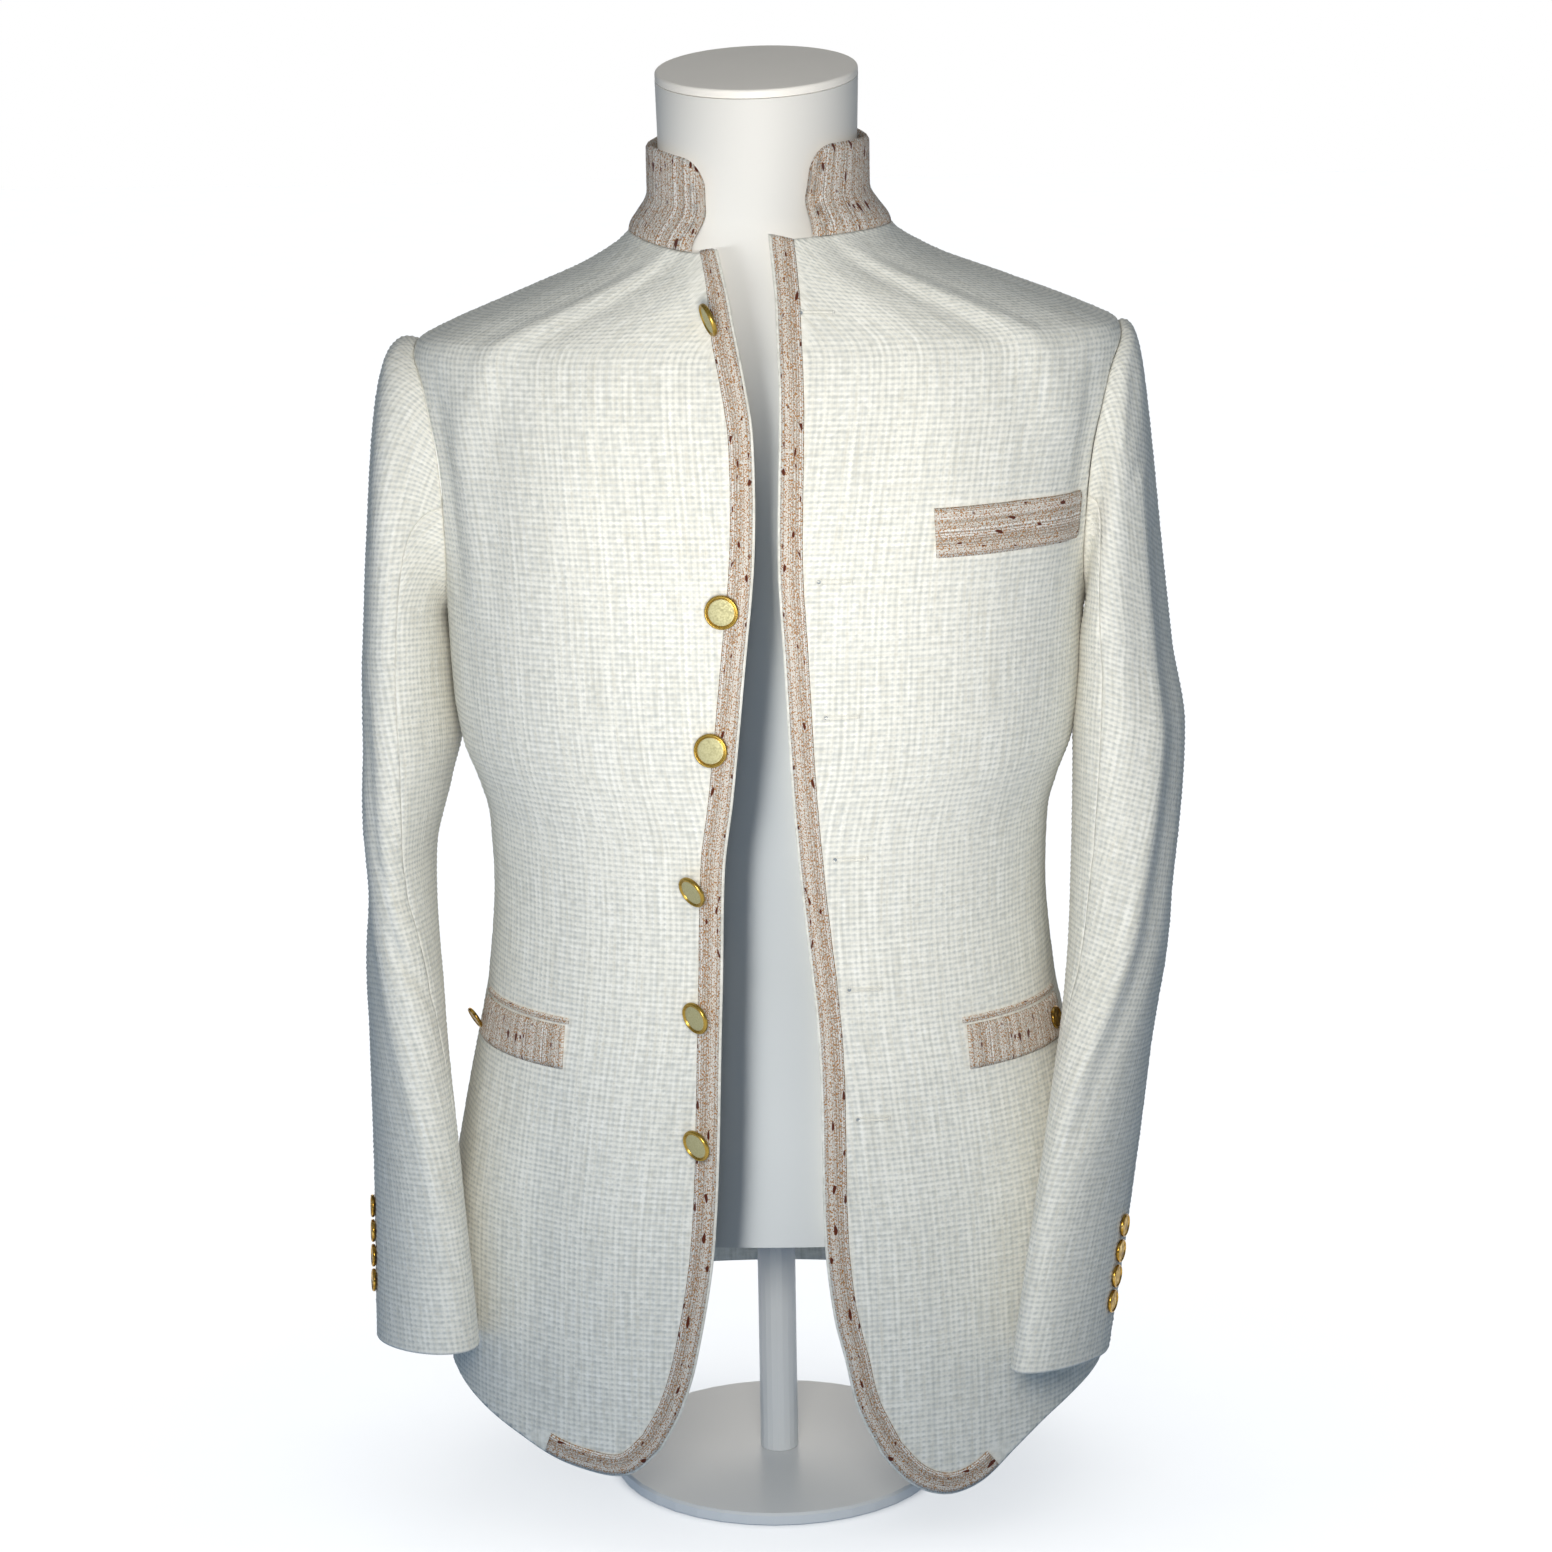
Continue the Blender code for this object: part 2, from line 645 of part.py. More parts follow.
def back_panel(side):
    sign = -1 if side == "right" else 1
    gap = SEAM_GAP / 2
    shoulder = [(sign * 90.0, h) for h in shoulder_heights(SHOULDER_ROWS)]
    shoulder = [shift(*at, sign * gap, 0) for at in shoulder]
    sleeve = [armhole(sign, c) for c in armhole_clocks(360, BACK_SEAM_CLOCK)]
    sleeve[0] = shift(*sleeve[0], sign * gap, 0)
    sleeve[-1] = shift(*sleeve[-1], sign * gap, 0)
    seam_top = sleeve[-1][1]
    low = mix(SIDE_HEM, BACK_HEM, 0.5)
    seam = []
    for i in range(1, SIDE_ROWS + 1):
        height = mix(seam_top, low, i / SIDE_ROWS)
        seam.append(shift(sign * back_seam_turn(height), height, sign * gap, 0))
    edge = shoulder + sleeve + seam
    middle = []
    neck = NECK_HEIGHT + NECK_RISE_BEHIND
    for i in range(len(edge)):
        if i < SHOULDER_ROWS:
            height = mix(neck, BACK_AT_SHOULDER, i / SHOULDER_ROWS)
        elif i < SHOULDER_ROWS + len(sleeve):
            height = mix(BACK_AT_SHOULDER, seam_top, (i - SHOULDER_ROWS) / (len(sleeve) - 1))
        else:
            height = mix(seam_top, BACK_HEM, (i - SHOULDER_ROWS - len(sleeve) + 1) / SIDE_ROWS)
        middle.append(shift(sign * 180.0, height, -sign * gap, 0))
    top = []
    for j in range(BACK_COLUMNS + 1):
        turn = mix(edge[0][0], middle[0][0], j / BACK_COLUMNS)
        top.append((turn, neck_height(turn)))
    edge[0] = top[0]
    middle[0] = top[-1]
    bottom = [
        tuple(mix(edge[-1][a], middle[-1][a], j / BACK_COLUMNS) for a in (0, 1))
        for j in range(BACK_COLUMNS + 1)
    ]
    return wall_on_body("back_" + side, patch(edge, middle, top, bottom), CLOTH, "cream_tweed")


def sleeve_section(side, height, clock):
    """A point on the sleeve's tube below the underarm."""
    sign = -1 if side == "right" else 1
    across, forward, wide, deep, twist, seam_turn = (
        smooth(SLEEVE[side], height, column) for column in range(1, 7)
    )
    angle = radians(clock + seam_turn)
    out_by = wide * cos(angle)
    front_by = deep * sin(angle)
    spin = radians(twist)
    out = out_by * cos(spin) + front_by * sin(spin)
    front = front_by * cos(spin) - out_by * sin(spin)
    high, low = SLEEVE[side][0][0], SLEEVE[side][-1][0]
    tilt = CUFF_TILT * ease((high - height) / (high - low))
    return Vector((across + sign * out, -(forward + front), height + tilt * front))


def sleeve_head(side, clock, share):
    """A point between the armhole and the first section of the tube."""
    sign = -1 if side == "right" else 1
    turn, height = armhole(sign, clock)
    start = body_point(turn, height)
    middle = lean(Vector((sign * ARMHOLE_MIDDLE[0], ARMHOLE_MIDDLE[1], ARMHOLE_MIDDLE[2])))
    inward = middle - start
    outward = body_normal(turn, height)
    inward -= outward * inward.dot(outward)
    start = start + inward.normalized() * SLEEVE_SEAM_GAP
    end = sleeve_section(side, SLEEVE[side][0][0], clock)
    top = 0.5 + 0.5 * cos(radians(clock))
    stand_out, rise, slope = SLEEVE_HEAD[side]
    push = Vector((sign, -HEAD_FORWARD * sin(radians(clock)), mix(-HEAD_DOWN, rise, top)))
    first = start + push.normalized() * mix(UNDERARM_OUT, stand_out, ease(top * HEAD_WIDTH))
    second = end + Vector((-sign * slope * top, 0, (start.z - end.z) * HEAD_FULLNESS))
    s = 1 - share
    return start * s**3 + first * 3 * s * s * share + second * 3 * s * share**2 + end * share**3


def sleeve(side):
    sign = -1 if side == "right" else 1
    clocks = [i * 360 / ARMHOLE_STEPS for i in range(ARMHOLE_STEPS)]
    high, low = SLEEVE[side][0][0], SLEEVE[side][-1][0]
    grid = [[sleeve_head(side, c, share) for c in clocks] for share in HEAD_ROWS]
    for i in range(SLEEVE_ROWS + 1):
        height = mix(high, low, i / SLEEVE_ROWS)
        grid.append([sleeve_section(side, height, c) for c in clocks])
    rows, columns = len(grid), len(clocks)
    downs, normals = [], []
    for i in range(rows):
        above, below = grid[max(i - 1, 0)], grid[min(i + 1, rows - 1)]
        downs.append([(below[j] - above[j]).normalized() for j in range(columns)])
        round_its = [grid[i][(j + 1) % columns] - grid[i][j - 1] for j in range(columns)]
        normals.append([(a.cross(b) * sign).normalized() for a, b in zip(round_its, downs[-1])])
    pieces = {
        "top_sleeve_": range(BACK_SLEEVE_SEAM, columns + FRONT_SLEEVE_SEAM + 1),
        "under_sleeve_": range(FRONT_SLEEVE_SEAM, BACK_SLEEVE_SEAM + 1),
    }
    for name, span in pieces.items():
        columns_used = [j % columns for j in span]
        outer, inner = [], []
        for i in range(rows):
            points = [grid[i][j].copy() for j in columns_used]
            for end, near in ((0, 1), (-1, -2)):
                down_it = downs[i][columns_used[end]]
                inward = points[near] - points[end]
                inward -= down_it * inward.dot(down_it)
                points[end] += inward.normalized() * SLEEVE_SEAM_GAP / 2
            outer.append(points)
            inner.append([p - normals[i][j] * CLOTH for p, j in zip(points, columns_used)])
        closed_mesh(name + side, outer, inner, "cream_tweed")


def front_trim(side):
    """The tweed strip along the front edge, round the corner and along the hem."""
    sign = -1 if side == "right" else 1
    panel = grids["front_" + side]
    hem = panel[-1][1 : int(TRIM_END_SHARE * FRONT_COLUMNS) + 1]
    end_height, end_across = spline(FRONT_HEM[side], TRIM_END_SHARE)
    path = [row[0] for row in panel] + hem + [(turn_across(end_across, end_height), end_height)]
    grid = []
    for i, at in enumerate(path):
        before, after = path[max(i - 1, 0)], path[min(i + 1, len(path) - 1)]
        along = body_point(*after) - body_point(*before)
        outward = body_normal(*at)
        inward = outward.cross(along).normalized() * sign
        wide = body_point(at[0] + TURN_STEP, at[1]) - body_point(at[0] - TURN_STEP, at[1])
        wide.normalize()
        tall = outward.cross(wide)
        row = []
        for share in TRIM_SHARES:
            by = inward * mix(TRIM_INSET, TRIM_WIDTH, share)
            row.append(shift(*at, by.dot(wide), by.dot(tall)))
        grid.append(row)
    return laid_strip("front_trim_" + side, "front_" + side, grid, TRIM_CLOTH, "rose_tweed")


def panel_turns(panel, height, first, last):
    """Where a panel's own columns cross a height, with a place between each two."""
    turns = [first]
    for column in zip(*grids[panel]):
        for high, low in zip(column, column[1:]):
            if low[1] <= height < high[1]:
                turn = mix(low[0], high[0], (height - low[1]) / (high[1] - low[1]))
                inside = (turn - first) * (turn - last) < 0
                if inside and min(abs(turn - first), abs(turn - last)) > COLUMN_SPACE:
                    turns.append(turn)
    turns.append(last)
    between = [mix(a, b, 0.5) for a, b in zip(turns, turns[1:])]
    return sorted(turns + between, key=abs)


def pocket_piece(name, panel, turns, heights, thickness):
    """A strip across a panel, on the panel's own columns."""
    grid = []
    for i in range(POCKET_ROWS + 1):
        height = mix(heights[1], heights[0], i / POCKET_ROWS)
        grid.append([(turn, height) for turn in panel_turns(panel, height, *turns)])
    return laid_strip(name, panel, grid, thickness, "rose_tweed", WELT_LIFT)


def pockets():
    for side, (front, back, low, high) in POCKET.items():
        panel = "front_" + side
        jet = (high + JET_GAP, high + JET_GAP + JET_HEIGHT)
        pocket_piece("pocket_welt_" + side, panel, (front, back), (low, high), WELT_CLOTH)
        pocket_piece("pocket_jet_" + side, panel, (front, back), jet, TRIM_CLOTH)
    front, back, low, high = BREAST_POCKET
    pocket_piece("breast_welt", "front_left", (front, back), (low, high), WELT_CLOTH)


def collar():
    """The stand collar, from the front round the back to the front."""
    rows = []
    first, last = COLLAR_ENDS
    turns = [mix(first, last, i / COLLAR_COLUMNS) for i in range(COLLAR_COLUMNS + 1)]
    for share in COLLAR_CORNER_COLUMNS:
        turns += [first + COLLAR_ROUND * share, last - COLLAR_ROUND * share]
    turns.sort()
    for share in COLLAR_ROWS:
        row = []
        for turn in turns:
            near = min(turn - first, last - turn) / COLLAR_ROUND
            cut = 0.0 if near >= 1 else 1 - (1 - (1 - near) ** 2) ** 0.5
            up = COLLAR_HEIGHT * share * (1 - COLLAR_CORNER * cut)
            along = (turn - first) / (last - first)
            turn = mix(turn, mix(*COLLAR_TOP_ENDS, along), share)
            base = body_point(turn, neck_height(turn))
            flare = ease(up / COLLAR_FLARE)
            top = Vector((COLLAR_TOP[0] * sin(radians(turn)), -COLLAR_TOP[1] * cos(radians(turn)), 0))
            height = base.z + COLLAR_LIFT + up
            row.append(Vector((mix(base.x, top.x, flare), mix(base.y, top.y, flare), height)))
        rows.append(row)
    inner = []
    for i, row in enumerate(rows):
        inside = []
        for j, p in enumerate(row):
            round_it = row[min(j + 1, len(row) - 1)] - row[max(j - 1, 0)]
            up_it = rows[min(i + 1, len(rows) - 1)][j] - rows[max(i - 1, 0)][j]
            outward = round_it.cross(up_it).normalized()
            inside.append(p - outward * COLLAR_CLOTH)
            if i == 0:
                inside[-1].z = p.z
        inner.append(inside)
    return closed_mesh("collar", rows, inner, "rose_tweed")


def button(name, radius, sides, place, outward):
    """A shallow metal dish with a rolled rim, its flat back at the given place."""
    high = radius * BUTTON_HEIGHT
    profile = [(radius * out, high * up) for out, up in BUTTON_PROFILE]
    return turned(name, profile, sides, "gold_metal", place, outward)


def turned(name, profile, sides, material_name, place=Vector(), axis=Vector((0, 0, 1))):
    """A profile of (radius, height) turned round its axis, from the top down."""
    made = bpy.data.meshes.new(name)
    points = [(radius, 0.0, height) for radius, height in profile]
    made.from_pydata(points, [(i, i + 1) for i in range(len(points) - 1)], [])
    thing = bpy.data.objects.new(name, made)
    link(thing, material_name)
    screw = thing.modifiers.new("Turn", "SCREW")
    screw.steps = sides
    screw.render_steps = sides
    screw.use_merge_vertices = True
    screw.merge_threshold = 0.00001
    screw.use_smooth_shade = True
    thing.matrix_world = Matrix.Translation(place) @ axis.to_track_quat("Z", "Y").to_matrix().to_4x4()
    return thing


def front_buttons():
    for i, (height, across) in enumerate(FRONT_BUTTONS, 1):
        place, outward = on_panel("front_right", turn_across(across, height), height)
        place = place + outward * FRONT_BUTTON_LIFT
        button(f"front_button_{i}", FRONT_BUTTON_RADIUS, FRONT_BUTTON_SIDES, place, outward)


def pocket_buttons():
    for side, turn in POCKET_BUTTON_TURN.items():
        low, high = POCKET[side][2:]
        place, outward = on_panel("front_" + side, turn, mix(low, high, 0.5))
        place = place + outward * (WELT_LIFT + WELT_CLOTH + POCKET_BUTTON_GAP)
        button("pocket_button_" + side, SMALL_BUTTON_RADIUS, SMALL_BUTTON_SIDES, place, outward)


def sleeve_buttons():
    for side, heights in SLEEVE_BUTTON_HEIGHTS.items():
        sign = -1 if side == "right" else 1
        for i, height in enumerate(heights, 1):
            clock = SLEEVE_BUTTON_CLOCK - smooth(SLEEVE[side], height, 6)
            place = sleeve_section(side, height, clock)
            before, after = (
                sleeve_section(side, height, clock + step) for step in (-CLOCK_STEP, CLOCK_STEP)
            )
            above, below = (
                sleeve_section(side, height + step, clock) for step in (SLEEVE_STEP, -SLEEVE_STEP)
            )
            outward = ((after - before).cross(below - above) * sign).normalized()
            place = place + outward * SLEEVE_BUTTON_LIFT
            name = f"sleeve_button_{side}_{i}"
            button(name, SMALL_BUTTON_RADIUS, SMALL_BUTTON_SIDES, place, outward)


def form():
    """The limbless torso with its neck, inside the jacket and clear of it."""
    turns = [360 * i / FORM_COLUMNS for i in range(FORM_COLUMNS)]
    rings = []
    for height in FORM_ROWS:
        inset = CLOTH + smooth(FORM_CLEAR, height, 1)
        rings.append([body_point(t, height) - body_normal(t, height) * inset for t in turns])
    for i, (height, wide, deep) in enumerate(NECK):
        tilt = NECK_TILT * i / (len(NECK) - 1)
        ring = []
        for t in turns:
            x, y = wide * sin(radians(t)), -deep * cos(radians(t))
            ring.append(lean(Vector((x, y, height + tilt * y))))
        rings.append(ring)
    for p in rings[0]:
        p.z = FORM_BOTTOM
    solid = bmesh.new()
    verts = [[solid.verts.new(p) for p in ring] for ring in rings]
    for low, high in zip(verts, verts[1:]):
        for j in range(FORM_COLUMNS):
            k = (j + 1) % FORM_COLUMNS
            solid.faces.new((low[j], low[k], high[k], high[j]))
    solid.faces.new(list(reversed(verts[0])))
    solid.faces.new(verts[-1])
    bmesh.ops.recalc_face_normals(solid, faces=solid.faces)
    made = bpy.data.meshes.new("form_torso")
    solid.to_mesh(made)
    solid.free()
    torso = link(bpy.data.objects.new("form_torso", made), "white_form")
    for face in (made.polygons[-1], made.polygons[-2]):
        face.use_smooth = False
    return torso


def neck_cap():
    height, wide, deep = NECK[-1]
    middle = lean(Vector((0, 0, height)))
    axis = Vector((-LEAN_RISE, -NECK_TILT, 1)).normalized()
    profile = (
        (0.0, CAP_THICKNESS),
        (wide - CAP_EDGE, CAP_THICKNESS),
        (wide, CAP_THICKNESS - CAP_EDGE),
        (wide, 0.0),
        (0.0, 0.0),
    )
    cap = turned("neck_cap", profile, FORM_COLUMNS, "grey_cap", middle + axis * SEAM_GAP, axis)
    cap.data.transform(Matrix.Scale(deep / wide, 4, (0, 1, 0)))
    return cap


def stand():
    plate = (
        (0.0, BASE_THICKNESS),
        (BASE_RADIUS - BASE_EDGE, BASE_THICKNESS),
        (BASE_RADIUS, BASE_THICKNESS - BASE_EDGE),
        (BASE_RADIUS, BASE_UNDER_EDGE),
        (BASE_RADIUS - BASE_UNDER_EDGE, 0.0),
        (0.0, 0.0),
    )
    turned("stand_base", plate, BASE_SIDES, "white_paint")
    low, high = BASE_THICKNESS + SEAM_GAP, FORM_BOTTOM - SEAM_GAP
    pole = ((0.0, high), (POLE_RADIUS, high), (POLE_RADIUS, low), (0.0, low))
    turned("stand_pole", pole, POLE_SIDES, "white_paint")


trees = {}
grids = {}
clear_scene()
collection = bpy.data.collections.new("tweed_jacket_on_form")
bpy.context.scene.collection.children.link(collection)
for wearer_side in ("right", "left"):
    front_panel(wearer_side)
    side_panel(wearer_side)
    back_panel(wearer_side)
    sleeve(wearer_side)
    front_trim(wearer_side)
collar()
pockets()
front_buttons()
pocket_buttons()
sleeve_buttons()
form()
neck_cap()
stand()
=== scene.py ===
from math import cos, radians, sin

import bmesh
import bpy
import numpy as np
from mathutils import Matrix, Vector
from mathutils.geometry import delaunay_2d_cdt
from mathutils.kdtree import KDTree


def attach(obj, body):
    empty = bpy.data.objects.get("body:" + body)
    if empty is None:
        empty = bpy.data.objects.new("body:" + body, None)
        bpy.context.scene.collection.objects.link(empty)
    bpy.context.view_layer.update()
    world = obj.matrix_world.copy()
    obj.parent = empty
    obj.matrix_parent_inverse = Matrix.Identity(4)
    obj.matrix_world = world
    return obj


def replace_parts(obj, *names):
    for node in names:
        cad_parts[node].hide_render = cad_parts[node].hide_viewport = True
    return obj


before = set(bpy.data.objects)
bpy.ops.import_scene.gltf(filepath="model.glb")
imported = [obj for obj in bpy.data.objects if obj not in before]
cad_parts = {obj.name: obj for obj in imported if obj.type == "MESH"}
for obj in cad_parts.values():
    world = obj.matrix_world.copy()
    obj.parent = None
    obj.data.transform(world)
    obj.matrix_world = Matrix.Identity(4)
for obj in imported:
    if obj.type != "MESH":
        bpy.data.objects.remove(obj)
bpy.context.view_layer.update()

MM = 0.001
SIGN = {"right": -1, "left": 1}
SHARP = radians(50)         # edges sharper than this are not shaded as round
rng = np.random.default_rng(7)

# Sizes of the cut, as the solids have them
CLOTH = 2.4 * MM
TRIM_CLOTH = 1.5 * MM
COLLAR_CLOTH = 3.0 * MM
SEAM_GAP = 0.3 * MM
LIE_GAP = 0.5 * MM
TRIM_WIDTH = 15 * MM
COLLAR_HEIGHT = 53 * MM
NECK_HEIGHT = 0.820
SHOULDER_HEIGHT = 0.755
UNDERARM_HEIGHT = 0.582
SIDE_HEM = 0.085
BACK_HEM = 0.090
FRONT_SEAM_TURN = 94.0      # the seam under the arm
BACK_SEAM_HEM_TURN = 130.0  # the seam between side and back, at the hem
BACK_SEAM_CLOCK = 240.0     # and where it meets the armhole

# Horizontal sections through the outside of the body
# height, half width, depth in front, depth behind, squareness
BODY = (
    (0.015, 0.2180, 0.1410, 0.132, 2.25),
    (0.077, 0.2170, 0.1400, 0.131, 2.25),
    (0.200, 0.2105, 0.1390, 0.126, 2.25),
    (0.250, 0.2020, 0.1380, 0.121, 2.25),
    (0.305, 0.1905, 0.1360, 0.114, 2.25),
    (0.345, 0.1825, 0.1330, 0.107, 2.22),
    (0.410, 0.1770, 0.1280, 0.099, 2.20),
    (0.450, 0.1785, 0.1285, 0.100, 2.20),
    (0.475, 0.1850, 0.1295, 0.103, 2.20),
    (0.500, 0.1940, 0.1310, 0.107, 2.20),
    (0.530, 0.1985, 0.1335, 0.114, 2.20),
    (0.600, 0.2020, 0.1370, 0.126, 2.20),
    (0.680, 0.2140, 0.1240, 0.128, 2.20),
    (0.720, 0.2210, 0.1130, 0.121, 2.20),
    (0.745, 0.2225, 0.1040, 0.112, 2.20),
    (0.755, 0.2185, 0.0990, 0.107, 2.20),
    (0.765, 0.2000, 0.0940, 0.101, 2.20),
    (0.783, 0.1550, 0.0850, 0.091, 2.15),
    (0.804, 0.1040, 0.0740, 0.078, 2.05),
    (0.820, 0.0815, 0.0670, 0.070, 2.00),
    (0.845, 0.0740, 0.0610, 0.062, 2.00),
)
# The form stands a little askew: its left shoulder is higher and further out
LEAN_FROM = 0.55
LEAN_FULL = 0.75
LEAN_RISE = 0.015           # per metre across
LEAN_SHIFT = 4 * MM
LEAN_GONE = (0.775, 0.835)  # the shift ends between these heights

# What each panel of the body is cut from: first and last turn, low, high, turn of the middle
PANEL_CLOTH = {
    "front": (-9.0, 104.0, 0.020, 0.836, 35.0),
    "side": (86.0, 146.0, 0.070, 0.670, 112.0),
    "back": (84.0, 186.0, 0.076, 0.848, 150.0),
}

# Edge of each front from the neck to the rounded corner: height, across
FRONT_EDGE = {
    "right": (
        (0.812, -0.0240),
        (0.772, -0.0170),
        (0.737, -0.0095),
        (0.703, -0.0040),
        (0.633, -0.002),
        (0.578, -0.006),
        (0.485, -0.016),
        (0.441, -0.022),
        (0.359, -0.025),
        (0.205, -0.032),
        (0.125, -0.045),
        (0.089, -0.056),
        (0.064, -0.069),
    ),
    "left": (
        (0.819, 0.008),
        (0.772, 0.009),
        (0.726, 0.011),
        (0.633, 0.012),
        (0.573, 0.016),
        (0.485, 0.020),
        (0.421, 0.025),
        (0.327, 0.034),
        (0.205, 0.036),
        (0.155, 0.041),
        (0.124, 0.048),
        (0.093, 0.055),
        (0.060, 0.070),
    ),
}
EDGE_SETTLES = 0.06         # share of its length over which the edge leaves the neck's edge
# Hem of each front from the rounded corner to the side seam: height, across
FRONT_HEM = {
    "right": (
        (0.064, -0.069),
        (0.048, -0.085),
        (0.043, -0.098),
        (0.044, -0.116),
        (0.049, -0.139),
        (0.059, -0.163),
        (0.070, -0.188),
        (SIDE_HEM, -0.2160),
    ),
    "left": (
        (0.060, 0.070),
        (0.042, 0.085),
        (0.032, 0.100),
        (0.029, 0.116),
        (0.035, 0.135),
        (0.053, 0.157),
        (0.071, 0.182),
        (SIDE_HEM, 0.2160),
    ),
}
# The neck's edge: how far it dips in front and rises behind
NECK_DROP = {"right": 12.0 * MM, "left": 3.5 * MM}
NECK_BLEND = 40.0           # degrees over which one dip passes into the other
# and towards each front edge: turn of the edge, turn where it starts, rise
NECK_RISE_AHEAD = {"right": (-14.0, -24.0, 3.0 * MM), "left": (5.0, 16.0, 6.0 * MM)}
NECK_RISE_BEHIND = 15 * MM

# Armhole, looked at from the side: clock (0 top, 90 front), forward, height
ARMHOLE = (
    (0, 0.000, SHOULDER_HEIGHT),
    (40, 0.034, 0.736),
    (75, 0.047, 0.697),
    (105, 0.046, 0.654),
    (140, 0.030, 0.606),
    (180, -0.008, UNDERARM_HEIGHT),
    (215, -0.045, 0.603),
    (250, -0.066, 0.655),
    (290, -0.064, 0.706),
    (325, -0.040, 0.741),
    (360, 0.000, SHOULDER_HEIGHT),
)

# Sleeve sections: height, centre across, centre forward, half width, half depth,
# twist, seam turn
SLEEVE = {
    "right": (
        (0.548, -0.2275, -0.006, 0.0266, 0.074, 6, 0),
        (0.503, -0.2268, -0.001, 0.0266, 0.073, 8, 5),
        (0.465, -0.2320, 0.004, 0.0245, 0.071, 5, 10),
        (0.420, -0.2360, 0.012, 0.0195, 0.067, 1, 17),
        (0.330, -0.2340, 0.034, 0.0240, 0.061, -10, 30),
        (0.230, -0.2270, 0.065, 0.0250, 0.054, -22, 45),
        (0.121, -0.2210, 0.091, 0.0290, 0.047, -31, 56),
    ),
    "left": (
        (0.548, 0.2285, -0.004, 0.0290, 0.072, -9, 0),
        (0.500, 0.2305, 0.002, 0.0350, 0.071, -8, 6),
        (0.390, 0.2240, 0.028, 0.0315, 0.064, -6, 22),
        (0.280, 0.2090, 0.070, 0.0250, 0.057, -22, 38),
        (0.190, 0.1945, 0.101, 0.0205, 0.051, -32, 49),
        (0.119, 0.1830, 0.119, 0.0200, 0.047, -35, 56),
    ),
}
# How far each sleeve's head stands out, how much it rises on the way, and its outward slope
SLEEVE_HEAD = {"right": (35 * MM, 0.45, 12 * MM), "left": (20 * MM, 0.45, 18 * MM)}
CUFF_TILT = 0.15            # the cuff is higher in front by this share of the depth
UNDERARM_OUT = 8 * MM
HEAD_FORWARD = 0.30         # how far the sleeve leaves the armhole to front and back, by its way out
HEAD_DOWN = 0.50            # and how far down, at the underarm
HEAD_FULLNESS = 0.72        # share of the head's height in which it keeps its fullness
HEAD_WIDTH = 1.6            # above 1 the fullness reaches further down from the top
ARMHOLE_MIDDLE = (0.205, 0.008, 0.668)
SLEEVE_SEAM_GAP = 0.15 * MM
SLEEVE_SPREAD = 8.0         # degrees of cloth known beyond a sleeve panel's seams
CREASES_END, CREASES_FADE = 1.86, 0.12      # heights of the arm where a sleeve's creases end
SLEEVE_SEAM_CLOCKS = (105.0, 270.0)     # the front seam and the back seam

# Places on the fronts: turn at both ends, low and high edge
POCKET = {"right": (-39.5, -77.0, 0.3075, 0.3350), "left": (39.5, 78.0, 0.3065, 0.3345)}
BREAST_POCKET = (29.0, 69.0, 0.6300, 0.6600)
JET_HEIGHT = 4 * MM
JET_GAP = 1.0 * MM
WELT_LIFT = 0.25 * MM
WELT_CLOTH = 2.2 * MM

# Strips of the rose tweed
TRIM_LIFT = 0.2 * MM
TRIM_INSET = 1.5 * MM       # a line of the cream cloth shows beyond the strip
TRIM_END_SHARE = 0.52       # share of the front's hem that the strip runs along
# Share of the width that each has at the neck, and the length over which it widens
TRIM_NARROW = {"right": (0.66, 70 * MM), "left": (1.0, 1.0)}
STRIP_STEP = 2.5 * MM
STRIP_WAVE = 0.18 * MM      # how far a strip's width wanders
STRIP_WANDER = 7 * MM       # and the length in which it does so once
STRIP_NUB = 0.10 * MM
CUT_FADE = 12 * MM          # a strip's slanted end turns straight over this length
STRIP_EDGE = 1.6 * MM       # a strip's edge is rounded over this width
STRIP_EDGE_HIGH = 0.35      # share of its thickness that it has at the very edge

FRONT_BUTTON_RADIUS = 10.5 * MM
SMALL_BUTTON_RADIUS = 7.4 * MM
# height, across, and the way each faces as it hangs: degrees to the wearer's right, and up
FRONT_BUTTONS = (
    (0.7685, -0.0285, 71, -20),
    (0.603, -0.0205, 8, 2),
    (0.518, -0.0280, 10, 4),
    (0.430, -0.0395, 46, -22),
    (0.350, -0.0390, 44, -12),
    (0.270, -0.0400, 41, -14),
)
SLEEVE_BUTTON_HEIGHTS = {
    "right": (0.2020, 0.1868, 0.1716, 0.1564),
    "left": (0.1980, 0.1828, 0.1676, 0.1524),
}
SLEEVE_BUTTON_CLOCK = 335.0
POCKET_BUTTON_TURN = {"right": -74.0, "left": 72.0}
POCKET_BUTTON_FACING = {"right": (64, -28)}     # the left one lies flat
BUTTON_HEIGHT = 0.36        # share of the radius
BUTTON_TIPPED = 0.92        # share of the radius at which a hanging button's edge would touch
BUTTON_SIDES = {"front": 64, "small": 48}
SHANK_RADIUS = 1.3 * MM
SHANK_STEPS = 14
SLEEVE_BUTTON_LIFT = 0.5 * MM
POCKET_BUTTON_GAP = 0.8 * MM
FRONT_BUTTON_LIFT = LIE_GAP + TRIM_CLOTH + 0.5 * MM
